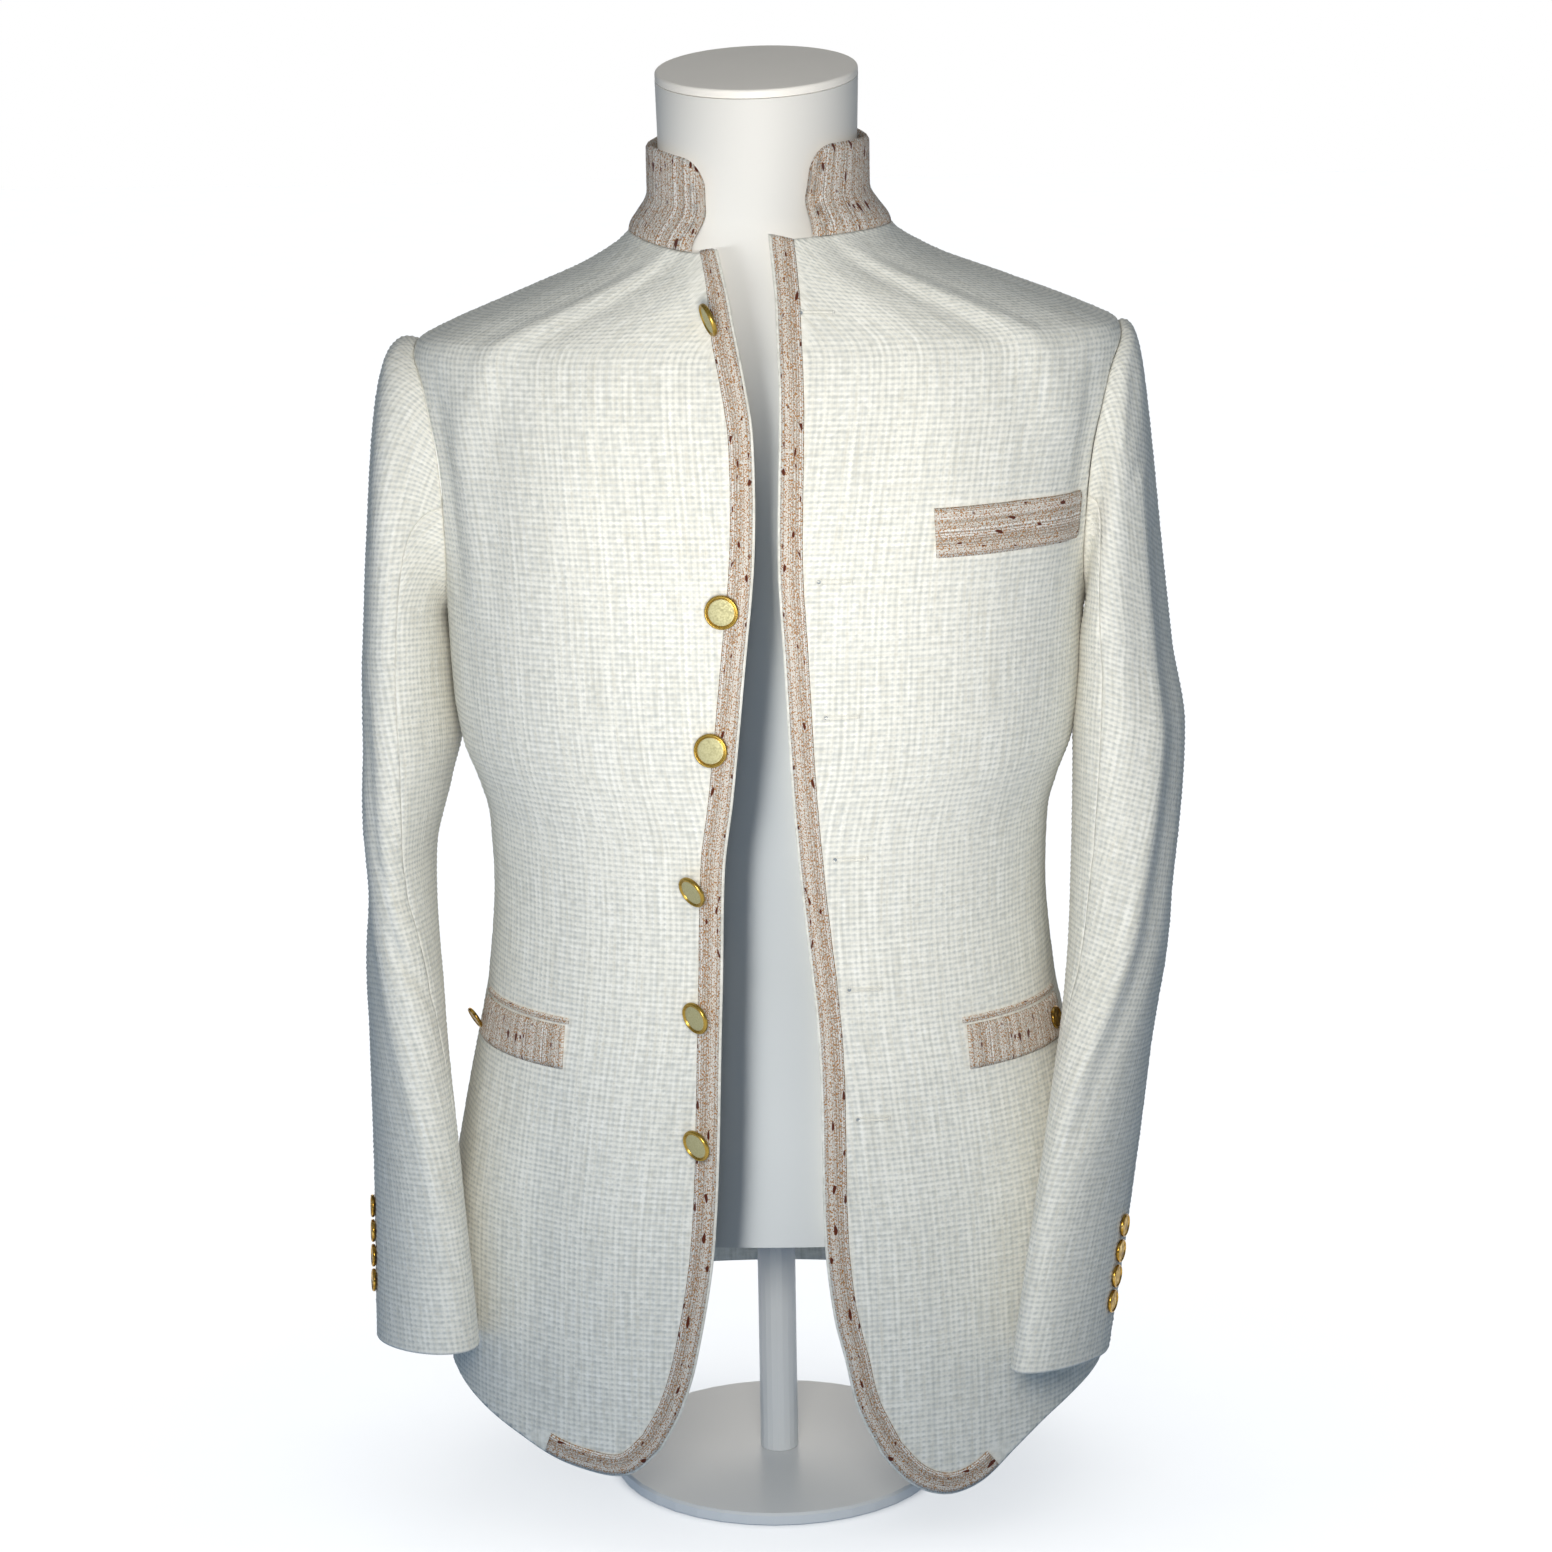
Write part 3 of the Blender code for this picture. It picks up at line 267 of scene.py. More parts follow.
# Share of the radius, share of the height: satin middle, narrow stepped rim, flat back
BUTTON_FACE = (
    (0.0, 0.80), (0.25, 0.795), (0.50, 0.775), (0.68, 0.745), (0.765, 0.72),
    (0.785, 0.70), (0.80, 0.78), (0.825, 0.85), (0.85, 0.80), (0.865, 0.80), (0.885, 0.90),
    (0.92, 0.93), (0.96, 0.86), (0.99, 0.70), (1.0, 0.52), (0.99, 0.34), (0.95, 0.18),
    (0.88, 0.08), (0.78, 0.03), (0.30, 0.0), (0.0, 0.0),
)
BUTTON_BANDS = (1,) * 4 + (0,) * 16     # which of the two golds each band has, face first

# The form inside
FORM_BOTTOM = 0.197
FORM_SIDES = 120
# How far the form stays from the cloth's inside: height, distance
FORM_CLEAR = (
    (0.197, 7.0 * MM),
    (0.580, 6.0 * MM),
    (0.660, 2.8 * MM),
    (0.700, 2.8 * MM),
    (0.740, 3.0 * MM),
    (0.800, 3.2 * MM),
)
# Sections of the form's neck: height, half width, half depth
NECK = (
    (0.819, 0.0660, 0.0610),
    (0.832, 0.0625, 0.0590),
    (0.860, 0.0615, 0.0590),
    (0.911, 0.0625, 0.0600),
)
NECK_TILT = 0.19            # how much higher its top is behind, by its depth
# Rings of the form: first height, last height, how many; closer over the shoulders
FORM_RINGS = ((FORM_BOTTOM, 0.69, 44), (0.70, 0.80, 34))
NECK_RINGS = 26
CAP_THICKNESS = 5 * MM
CAP_SIDES = 96
CAP_EDGE = 1.8 * MM
CAP_FLAT = 6 * MM           # the cap's flat middle ends this far from its edge

# The stand collar
COLLAR_ENDS = (24.0, 334.5)         # turns of its ends at the neck's edge
COLLAR_TOP_ENDS = (30.0, 333.5)     # and at its top
COLLAR_ROUND = 14.0                 # degrees that a rounded corner takes
COLLAR_CORNER = 0.30                # share of the height that it takes
COLLAR_FLARE = 24 * MM              # above this height it stands straight up
COLLAR_TOP = (0.0690, 0.0650)       # half width and half depth there
COLLAR_LIFT = 0.1 * MM
COLLAR_NUB = 0.12 * MM
COLLAR_COLUMNS, COLLAR_ROWS = 150, 22

# The weave: a small waffle of raised yarn floats with sunk lines between them
CELL_WIDE = 3.8 * MM
CELL_TALL = 3.5 * MM
CELL_RAISED = 0.7 * MM
BETWEEN_BEADS = 0.52        # share of the height that the rib keeps between two beads
WARP_FLOAT = 0.22           # share that a column keeps between two rows
SUNK_CORNER = -0.22         # share that the ground between them lies below
BEAD_HIGH = 0.86            # share of the height that an average bead has, since some are higher
# how much the beads differ from column to column, from row to row and one by one
COLUMN_UNEVEN, ROW_UNEVEN, SLUB_UNEVEN = 0.18, 0.14, 0.28
# lengths of these uneven patterns: they share no factor, so they don't repeat together
UNEVEN_LENGTHS = (199, 211, 5081)
INNER_STEPS = 3             # the smooth inside is this much coarser than the weave
PRESSED = 0.15              # share of the weave's relief left under a strip or a welt
OUTLINE_STEP = 1.7 * MM
EDGE_ROLL_WIDE = 2.2 * MM   # cloth turns in at its edges over this width
EDGE_ROLL = 0.5 * MM
SEAM_ROLL = 0.10 * MM
SEAM_WIDE = 1.1 * MM
EDGE_THIN = 0.6             # share of the cloth's thickness at a free edge
EDGE_TONE = 0.45            # edges and the inside have nearly the tone of the floats, with little painted groove shade
HALF_SEAM = 0.03 * MM       # sewn edges stay this far from the seam's middle
START_HEIGHT = 0.44         # the weave's rows are level here, at the waist
SEAM_TURN_REACH = 0.04      # below the armhole the seam reaches its turn within this height

CREASE_DEPTH = 1.4          # all creases are this much deeper than their rows say
# Soft troughs and ridges of the cloth: from (turn, height) to (turn, height), width, rise
BODY_CREASES = (
    (-30, 0.800, -47, 0.700, 11 * MM, -1.3 * MM),
    (-47, 0.700, -52, 0.600, 11 * MM, -1.1 * MM),
    (-38, 0.795, -58, 0.690, 9 * MM, 1.6 * MM),
    (-64, 0.715, -67, 0.610, 8 * MM, -1.3 * MM),
    (-56, 0.735, -59, 0.600, 9 * MM, 1.0 * MM),
    (-16, 0.790, -34, 0.640, 13 * MM, 1.6 * MM),
    (-8, 0.740, -13, 0.600, 7 * MM, -0.8 * MM),
    (-40, 0.270, -44, 0.090, 16 * MM, -2.0 * MM),
    (-66, 0.250, -64, 0.110, 17 * MM, 1.6 * MM),
    (-22, 0.240, -27, 0.110, 12 * MM, 1.2 * MM),
    (31, 0.805, 44, 0.715, 10 * MM, -1.2 * MM),
    (44, 0.715, 50, 0.610, 12 * MM, -1.0 * MM),
    (39, 0.795, 56, 0.700, 9 * MM, 1.4 * MM),
    (63, 0.720, 68, 0.625, 8 * MM, -1.2 * MM),
    (20, 0.790, 33, 0.650, 12 * MM, 1.5 * MM),
    (57, 0.740, 60, 0.680, 9 * MM, 0.9 * MM),
    (30, 0.270, 33, 0.100, 15 * MM, -1.6 * MM),
    (50, 0.230, 54, 0.090, 16 * MM, 1.8 * MM),
    (72, 0.260, 70, 0.120, 15 * MM, -1.4 * MM),
    (118, 0.640, 124, 0.500, 12 * MM, 1.6 * MM),
    (146, 0.690, 140, 0.520, 14 * MM, -1.2 * MM),
    (160, 0.700, 158, 0.560, 15 * MM, 1.4 * MM),
    (150, 0.400, 146, 0.180, 18 * MM, 2.0 * MM),
    (166, 0.430, 170, 0.220, 15 * MM, -1.5 * MM),
    (-121, 0.650, -126, 0.520, 12 * MM, 1.5 * MM),
    (-143, 0.700, -138, 0.540, 13 * MM, -1.2 * MM),
    (-161, 0.690, -156, 0.580, 16 * MM, 1.5 * MM),
    (-148, 0.380, -143, 0.150, 17 * MM, 2.1 * MM),
    (-168, 0.410, -171, 0.240, 14 * MM, -1.4 * MM),
    (100, 0.430, 128, 0.418, 9 * MM, -1.2 * MM),
    (-99, 0.415, -131, 0.428, 9 * MM, -1.3 * MM),
    (128, 0.445, 160, 0.436, 8 * MM, -0.9 * MM),
    (-132, 0.452, -163, 0.438, 8 * MM, -0.9 * MM),
)
BODY_DEGREE = 3.4 * MM      # cloth in one degree of turn
BODY_STEP = (0.5, 2 * MM)   # turn and height between known places of the body's cloth

# The same on the sleeves, by clock and by height of the arm: 0 cuff, 1 underarm, 2 armhole
SLEEVE_CREASES = {
    "right": (
        (35, 0.15, 30, 0.75, 9 * MM, 1.2 * MM),
        (62, 0.55, 58, 0.95, 8 * MM, -1.4 * MM),
        (100, 0.52, 60, 0.60, 7 * MM, -2.0 * MM),
        (105, 0.66, 70, 0.70, 6 * MM, -1.5 * MM),
        (10, 0.62, 330, 0.52, 12 * MM, 1.4 * MM),
        (285, 0.58, 250, 0.50, 9 * MM, -1.6 * MM),
        (40, 1.25, 20, 1.70, 9 * MM, -1.2 * MM),
        (300, 1.20, 320, 1.60, 11 * MM, -1.4 * MM),
    ),
    "left": (
        (52, 0.28, 40, 1.35, 8 * MM, 2.4 * MM),
        (24, 0.35, 12, 1.20, 11 * MM, -2.2 * MM),
        (96, 0.56, 66, 0.64, 7 * MM, -1.8 * MM),
        (100, 0.74, 78, 0.78, 6 * MM, -1.3 * MM),
        (330, 0.60, 300, 0.50, 12 * MM, 1.5 * MM),
        (275, 0.62, 245, 0.55, 9 * MM, -1.5 * MM),
        (48, 1.50, 30, 1.78, 9 * MM, -1.0 * MM),
        (310, 1.15, 325, 1.65, 11 * MM, -1.5 * MM),
    ),
}
SLEEVE_DEGREE = 1.05 * MM
SLEEVE_RISE = 0.43          # cloth from the cuff to the underarm

# Eye of each buttonhole on the left front: height, across
BUTTONHOLES = (
    (0.7745, 0.0240),
    (0.6194, 0.0367),
    (0.5361, 0.0410),
    (0.4461, 0.0452),
    (0.3640, 0.0530),
    (0.2820, 0.0575),
)
BUTTONHOLE_LONG = 19 * MM
BUTTONHOLE_EYE = 1.2 * MM
BUTTONHOLE_LIP = 0.45 * MM
BUTTONHOLE_THREAD = 0.45 * MM
BUTTONHOLE_RISE = 0.35 * MM
STITCH_LONG = 1.1 * MM
STITCH_APART = 0.8 * MM

# The camera, as the photo was taken
PITCH, YAW, ROLL = 13.4, 2.3, -0.95
FOCAL_PIXELS = 3620
PHOTO_PIXELS = 1552
SENSOR = 36
AIM = (0.005, 0.0, 0.469)
DISTANCE = 2.324

# Strengths of the lamps and of the light all round, in watts or for suns in watts to a square metre
CHEST = 2.55
FRONT_FILL = 0.6
HEM_LIGHT = 0.45
FLOOR_LIGHT = 3.2
RAKING_LIGHT = 1.6
NECK_LIGHT = 12.0
BACK_LIGHT = 1.1
FILL = 0.25

materials = {}
surfaces = {}
pieces = {}         # the pieces that are shown, by the names they are made with


# Curves and tables


def mix(a, b, share):
    """From a to b by a share."""
    return a + (b - a) * share


def ease(share):
    """A share that starts and ends softly."""
    share = np.clip(share, 0.0, 1.0)
    return share * share * (3 - 2 * share)


def unit(vectors):
    return vectors / np.linalg.norm(vectors, axis=-1)[..., None]


def lengths(points):
    """How far each of a run's points lies along it."""
    return np.concatenate([[0], np.cumsum(np.linalg.norm(np.diff(points, axis=0), axis=1))])


def cubic(t, step, start, start_slope, end, end_slope):
    """Values between two ends, at shares t of the step, with the slopes given there."""
    return (
        (2 * t**3 - 3 * t * t + 1) * start
        + (t**3 - 2 * t * t + t) * step * start_slope
        + (3 * t * t - 2 * t**3) * end
        + (t**3 - t * t) * step * end_slope
    )


def table(rows, at):
    """Each column of a table at these heights, without overshoot between its rows."""
    rows = np.array(sorted(rows), float)
    heights, values = rows[:, 0], rows[:, 1:]
    rise = np.diff(values, axis=0) / np.diff(heights)[:, None]
    slope = np.zeros_like(values)
    slope[0], slope[-1] = rise[0], rise[-1]
    before, after = rise[:-1], rise[1:]
    total = np.where(before * after > 0, before + after, 1.0)
    slope[1:-1] = np.where(before * after > 0, 2 * before * after / total, 0.0)
    at = np.clip(np.asarray(at, float), heights[0], heights[-1])
    k = np.clip(np.searchsorted(heights, at, side="right") - 1, 0, len(heights) - 2)
    step = (heights[k + 1] - heights[k])[..., None]
    t = (at - heights[k])[..., None] / step
    return cubic(t, step, values[k], slope[k], values[k + 1], slope[k + 1])


def spline(points, shares):
    """Points on a soft curve through the given points, at shares of its length."""
    points = np.array(points, float)
    far = lengths(points)
    last = len(points) - 1
    lower = np.maximum(np.arange(last + 1) - 1, 0)
    upper = np.minimum(np.arange(last + 1) + 1, last)
    slope = (points[upper] - points[lower]) / (far[upper] - far[lower])[:, None]
    want = np.asarray(shares, float) * far[-1]
    k = np.clip(np.searchsorted(far, want + 1e-12, side="right") - 1, 0, last - 1)
    step = (far[k + 1] - far[k])[:, None]
    t = (want - far[k])[:, None] / step
    return cubic(t, step, points[k], slope[k], points[k + 1], slope[k + 1])


# The body's outside, its armholes and its neck


def lean(points):
    """The same points with the form's tilt across the shoulders."""
    x, z = points[..., 0], points[..., 2]
    share = ease((z - LEAN_FROM) / (LEAN_FULL - LEAN_FROM))
    gone = ease((z - LEAN_GONE[0]) / (LEAN_GONE[1] - LEAN_GONE[0]))
    moved = points.copy()
    moved[..., 0] = x + LEAN_SHIFT * share * (1 - gone)
    moved[..., 2] = z + LEAN_RISE * x * share
    return moved


def body_points(turn, height):
    """Outside of the body. Turn is 0 at the front, 90 at +X, 180 behind."""
    turn, height = np.broadcast_arrays(np.asarray(turn, float), np.asarray(height, float))
    wide, front, behind, square = np.moveaxis(table(BODY, height), -1, 0)
    s, c = np.sin(np.radians(turn)), np.cos(np.radians(turn))
    x = wide * np.sign(s) * np.abs(s) ** (2 / square)
    y = -np.where(c >= 0, front, behind) * np.sign(c) * np.abs(c) ** (2 / square)
    return lean(np.stack([x, y, height], -1))


def body_normals(turn, height, aside=0.4):
    """The way out of the body, from places this far to each side: degrees and millimetres."""
    round_it = body_points(turn + aside, height) - body_points(turn - aside, height)
    up_it = body_points(turn, height + aside * MM) - body_points(turn, height - aside * MM)
    return unit(np.cross(round_it, up_it))


def turn_across(across, height):
    """The turn at which the body's front lies this far across, without its lean."""
    wide, _, _, square = np.moveaxis(table(BODY, height), -1, 0)
    share = np.minimum(1.0, np.abs(across) / wide)
    turn = np.degrees(np.arctan2(share ** (square / 2), np.maximum(0, 1 - share**square) ** 0.5))
    return np.where(np.asarray(across) >= 0, turn, -turn)


def armhole(side_sign, clocks):
    """(turn, height) of the armhole's edge at these clock angles."""
    rows = np.array(ARMHOLE, float)
    before = np.vstack([rows[-2] - [360, 0, 0], rows[:-1]])
    after = np.vstack([rows[1:], rows[1] + [360, 0, 0]])
    slope = (after[:, 1:] - before[:, 1:]) / (after[:, 0] - before[:, 0])[:, None]
    clocks = np.asarray(clocks, float) % 360.0
    k = np.clip(np.searchsorted(rows[:, 0], clocks, side="right") - 1, 0, len(rows) - 2)
    step = (rows[k + 1, 0] - rows[k, 0])[:, None]
    t = (clocks - rows[k, 0])[:, None] / step
    forward, height = cubic(t, step, rows[k, 1:], slope[k], rows[k + 1, 1:], slope[k + 1]).T
    height = np.minimum(height, SHOULDER_HEIGHT)
    _, front, behind, square = np.moveaxis(table(BODY, height), -1, 0)
    share = np.minimum(1.0, np.abs(forward) / np.where(forward >= 0, front, behind))
    turn = np.degrees(np.arctan2((1 - share**square) ** 0.5, share ** (square / 2)))
    return side_sign * np.where(forward >= 0, turn, 180 - turn), height


def neck_heights(turn):
    """Height of the neck's edge."""
    turn = (np.asarray(turn, float) + 180) % 360 - 180
    facing = np.cos(np.radians(turn))
    drop = mix(NECK_DROP["right"], NECK_DROP["left"], ease(0.5 + turn / NECK_BLEND))
    low = NECK_HEIGHT - drop * facing * facing
    for edge, start, rise in NECK_RISE_AHEAD.values():
        on_its_side = turn * edge > 0
        low = low + np.where(on_its_side, rise * ease((start - turn) / (start - edge)), 0)
    return np.where(facing < 0, NECK_HEIGHT + NECK_RISE_BEHIND * facing * facing, low)




# The cloth


def creased(a, b, rows, a_scale, b_scale):
    """How far the cloth stands out at places (a, b) because of its creases."""
    out = np.zeros(np.broadcast(a, b).shape)
    for a0, b0, a1, b1, width, rise in rows:
        run = np.array([(a1 - a0 + 180) % 360 - 180, b1 - b0]) * (a_scale, b_scale)
        x, y = ((a - a0 + 180) % 360 - 180) * a_scale, (b - b0) * b_scale
        along = (x * run[0] + y * run[1]) / (run @ run)
        t = np.clip(along, 0, 1)
        off = np.hypot(x - t * run[0], y - t * run[1])
        # a crease is fullest in its middle
        taper = 0.55 + 0.45 * np.sin(np.pi * np.clip(t, 0.02, 0.98))
        out += rise * taper * np.exp(-0.5 * (off / width) ** 2)
    return out * CREASE_DEPTH


class Surface:
    """Cloth known at places (a, b), with lengths of yarn measured along it.

    u runs round the garment from the middle of the piece, and v up it from start_b.
    """

    def __init__(self, a, b, points, middle_a, start_b, outward, offsets):
        self.a, self.b, self.outward = a, b, outward
        self.points = points
        self.normals = self.measure_normals()
        self.points = points + self.normals * offsets[..., None]
        self.normals = self.measure_normals()
        step = CELL_TALL / 2
        rise = np.linalg.norm(np.diff(self.points, axis=0), axis=2)
        v = np.vstack([np.zeros(len(a)), np.cumsum(rise, axis=0)])
        start = np.interp(start_b, b, np.arange(len(b)))
        low, share = int(start), start % 1
        self.v = v - mix(v[low], v[min(low + 1, len(b) - 1)], share)
        self.first = int(np.floor(self.v.min() / step))
        self.levels = np.arange(self.first, int(np.ceil(self.v.max() / step)) + 1)
        self.row_b = np.array([np.interp(self.levels * step, col, b) for col in self.v.T]).T
        places = self.at(self.points, np.broadcast_to(a, self.row_b.shape), self.row_b)
        run = np.linalg.norm(np.diff(places, axis=1), axis=2)
        u = np.hstack([np.zeros((len(run), 1)), np.cumsum(run, axis=1)])
        middle = np.interp(middle_a, a, np.arange(len(a)))
        low, share = int(middle), middle % 1
        self.u = u - mix(u[:, low], u[:, min(low + 1, len(a) - 1)], share)[:, None]

    def measure_normals(self):
        across = np.gradient(self.points, self.a, axis=1)
        upward = np.gradient(self.points, self.b, axis=0)
        return unit(np.cross(across, upward) * self.outward)

    def column(self, a):
        return np.clip((a - self.a[0]) / (self.a[1] - self.a[0]), 0, len(self.a) - 1.001)

    def level(self, v):
        return np.clip(v / (CELL_TALL / 2) - self.first, 0, len(self.levels) - 1.001)

    def at(self, field, a, b):
        """A field's value at places (a, b), between its own points."""
        fa = self.column(a)
        fb = np.clip(np.interp(b, self.b, np.arange(len(self.b))), 0, len(self.b) - 1.001)
        ia, ib = fa.astype(int), fb.astype(int)
        sa, sb = fa - ia, fb - ib
        if field.ndim == 3:
            sa, sb = sa[..., None], sb[..., None]
        low = mix(field[ib, ia], field[ib, ia + 1], sa)
        high = mix(field[ib + 1, ia], field[ib + 1, ia + 1], sa)
        return mix(low, high, sb)

    def yarn(self, a, b):
        """The (u, v) of places (a, b)."""
        v = self.at(self.v, a, b)
        level, fa = self.level(v), self.column(a)
        j, i = level.astype(int), fa.astype(int)
        s, t = fa - i, level - j
        low = mix(self.u[j, i], self.u[j, i + 1], s)
        high = mix(self.u[j + 1, i], self.u[j + 1, i + 1], s)
        return np.stack([mix(low, high, t), v], -1)

    def place(self, u, v):
        """The (a, b) of places given by their yarn lengths."""
        a, b = np.empty(len(u)), np.empty(len(u))
        level = self.level(v)
        level = np.where(np.abs(level - np.round(level)) < 1e-6, np.round(level), level)
        whole = level.astype(int)
        for k in np.unique(whole):
            here = whole == k
            share = level[here] - k
            ends = []
            for row in (k, k + 1):
                at = np.interp(u[here], self.u[row], self.a)
                ends.append((at, np.interp(at, self.a, self.row_b[row])))
            a[here], b[here] = (mix(low, high, share) for low, high in zip(*ends))
        return a, b

    def shift(self, a, b, by):
        """Move places round the garment by a length."""
        a = np.asarray(a, float)
        ends = [self.at(self.points, a + half, b) for half in (0.5, -0.5)]
        return a + by / np.linalg.norm(ends[0] - ends[1], axis=-1)

    def offset(self, a, b, vectors):
        """The places that lie these vectors away from places on the cloth."""
        target = self.at(self.points, a, b) + vectors
        for _ in range(4):
            here = self.at(self.points, a, b)
            by_a = self.at(self.points, a + 0.25, b) - self.at(self.points, a - 0.25, b)
            by_b = self.at(self.points, a, b + MM) - self.at(self.points, a, b - MM)
            by_a, by_b = by_a / 0.5, by_b / (2 * MM)
            gap = target - here
            pairs = ((by_a, by_a), (by_b, by_b), (by_a, by_b), (gap, by_a), (gap, by_b))
            aa, bb, ab, ga, gb = (np.sum(p * q, axis=-1) for p, q in pairs)
            whole = aa * bb - ab * ab
            a = a + (ga * bb - gb * ab) / whole
            b = b + (gb * aa - ga * ab) / whole
        return a, b

    def evened(self, a, b, step):
        """The same run of places, one about every step along the cloth."""
        far = lengths(self.at(self.points, a, b))
        count = max(1, round(far[-1] / step))
        want = np.linspace(0, far[-1], count + 1)
        return np.interp(want, far, a), np.interp(want, far, b)


def inside(outline, xs, ys):
    """Which crossings of a grid of lines lie inside a closed outline."""
    x0, y0 = outline.T
    x1, y1 = np.roll(outline, -1, axis=0).T
    found = np.zeros((len(ys), len(xs)), bool)
    for j, y in enumerate(ys):
        crosses = (y0 > y) != (y1 > y)
        if crosses.any():
            at = x0[crosses] + (y - y0[crosses]) / (y1[crosses] - y0[crosses]) * (x1 - x0)[crosses]
            found[j] = (np.searchsorted(np.sort(at), xs) % 2) == 1
    return found


def fill(outline, wide, tall, stride):
    """Grid squares inside an outline, joined to it by triangles.

    Gives the grid's crossings as whole numbers, and faces whose corners count the
    outline's points first and then those crossings.
    """
    xs = np.arange(np.floor(outline[:, 0].min() / wide), np.ceil(outline[:, 0].max() / wide) + 1)
    ys = np.arange(np.floor(outline[:, 1].min() / tall), np.ceil(outline[:, 1].max() / tall) + 1)
    kept = inside(outline, xs * wide, ys * tall)
    reach = 0.55 * min(wide, tall)
    for x, y in outline:
        i0, i1 = np.searchsorted(xs * wide, (x - reach, x + reach))
        j0, j1 = np.searchsorted(ys * tall, (y - reach, y + reach))
        kept[j0:j1, i0:i1] = False
    square = kept[:-1, :-1] & kept[1:, :-1] & kept[:-1, 1:] & kept[1:, 1:]
    corners = np.zeros_like(kept)
    for dj in (0, 1):
        for di in (0, 1):
            corners[dj : dj + square.shape[0], di : di + square.shape[1]] |= square
    number = np.full(kept.shape, -1)
    number[corners] = np.arange(corners.sum()) + len(outline)
    rows, columns = np.nonzero(corners)
    j, i = np.nonzero(square)
    squares = np.stack([number[j, i], number[j, i + 1], number[j + 1, i + 1], number[j + 1, i]], -1)
    padded = np.pad(square, 1)
    upright = zip(*np.nonzero(padded[:, 1:] != padded[:, :-1]))
    level = zip(*np.nonzero(padded[1:, :] != padded[:-1, :]))
    border = [(number[j - 1, i], number[j, i]) for j, i in upright]
    border += [(number[j, i - 1], number[j, i]) for j, i in level]
    border = np.array(border)
    used = np.unique(border)
    place = np.stack([xs[columns] * wide, ys[rows] * tall], -1)
    points = np.vstack([outline, place[used - len(outline)]])
    index = {int(k): n + len(outline) for n, k in enumerate(used)}
    count = len(outline)
    edges = [(k, (k + 1) % count) for k in range(count)]
    edges += [(index[int(p)], index[int(q)]) for p, q in border]
    verts, _, faces, origin, _, _ = delaunay_2d_cdt(
        [Vector(p) for p in points / MM], edges, [], 1, 1e-5
    )
    back = [source[0] if source else None for source in origin]
    triangles = []
    for face in faces:
        middle = sum((verts[k] for k in face), Vector((0, 0))) / len(face) * MM
        i = int(np.floor(middle.x / wide) - xs[0])
        j = int(np.floor(middle.y / tall) - ys[0])
        if 0 <= j < square.shape[0] and 0 <= i < square.shape[1] and square[j, i]:
            continue
        corner = [back[k] for k in face]
        triangles.append([c if c < count else int(used[c - count]) for c in corner])
    crossings = np.stack([xs[columns], ys[rows]], -1).astype(int) * stride
    return crossings, squares.tolist() + triangles


# Pieces


def finished(name, points, faces, slots=(), smooth=True):
    """An object of these points and faces, its materials by name."""
    mesh = bpy.data.meshes.new(name)
    mesh.from_pydata([tuple(p) for p in points], [], faces)
    mesh.polygons.foreach_set("use_smooth", [smooth] * len(mesh.polygons))
    mesh.update()
    thing = bpy.data.objects.new(name, mesh)
    bpy.context.scene.collection.objects.link(thing)
    for slot in slots:
        mesh.materials.append(materials[slot])
    pieces[name] = thing
    return thing


def give_yarn(thing, uv, depth=None):
    """Yarn lengths in metres as a UV map, and how far each point lies up in the weave, which the cream
    tweed turns into painted groove shade.
    """
    mesh = thing.data
    corners = np.empty(len(mesh.loops), int)
    mesh.loops.foreach_get("vertex_index", corners)
    layer = mesh.uv_layers.new(name="weave")
    layer.data.foreach_set("uv", np.asarray(uv)[corners].ravel())
    if depth is not None:
        mesh.attributes.new("weave_height", "FLOAT", "POINT").data.foreach_set("value", depth)


def joined(runs):
    """One closed run of places from several, each of which starts where the last ended."""
    a = np.concatenate([run[0][:-1] for run in runs])
    b = np.concatenate([run[1][:-1] for run in runs])
    return a, b


def near_to(points, outline):
    """How far each point lies from the nearest point of an outline."""
    tree = KDTree(len(outline))
    for k, (x, y) in enumerate(outline):
        tree.insert((x, y, 0), k)
    tree.balance()
    return np.array([tree.find((x, y, 0))[2] for x, y in points])


# Woven panels


def waffle(i, j, unevenness):
    """Height of the weave at yarn crossings: raised floats, sunk corners."""
    column = unevenness[0][i % len(unevenness[0])]
    row = unevenness[1][j % len(unevenness[1])]
    slub = unevenness[2][(i + 3 * j) % len(unevenness[2])]
    # warp floats stand up between the rows too, so columns and rows are equally plain
    swell = 1 + COLUMN_UNEVEN * column + ROW_UNEVEN * row + SLUB_UNEVEN * slub
    bead = np.where(i % 2 == 1, 1.0, BETWEEN_BEADS) * swell
    between = np.where(i % 2 == 1, WARP_FLOAT * (1 + 0.5 * column), SUNK_CORNER * (1 + 0.5 * slub))
    return CELL_RAISED * np.where(j % 2 == 1, bead * BEAD_HIGH, between)


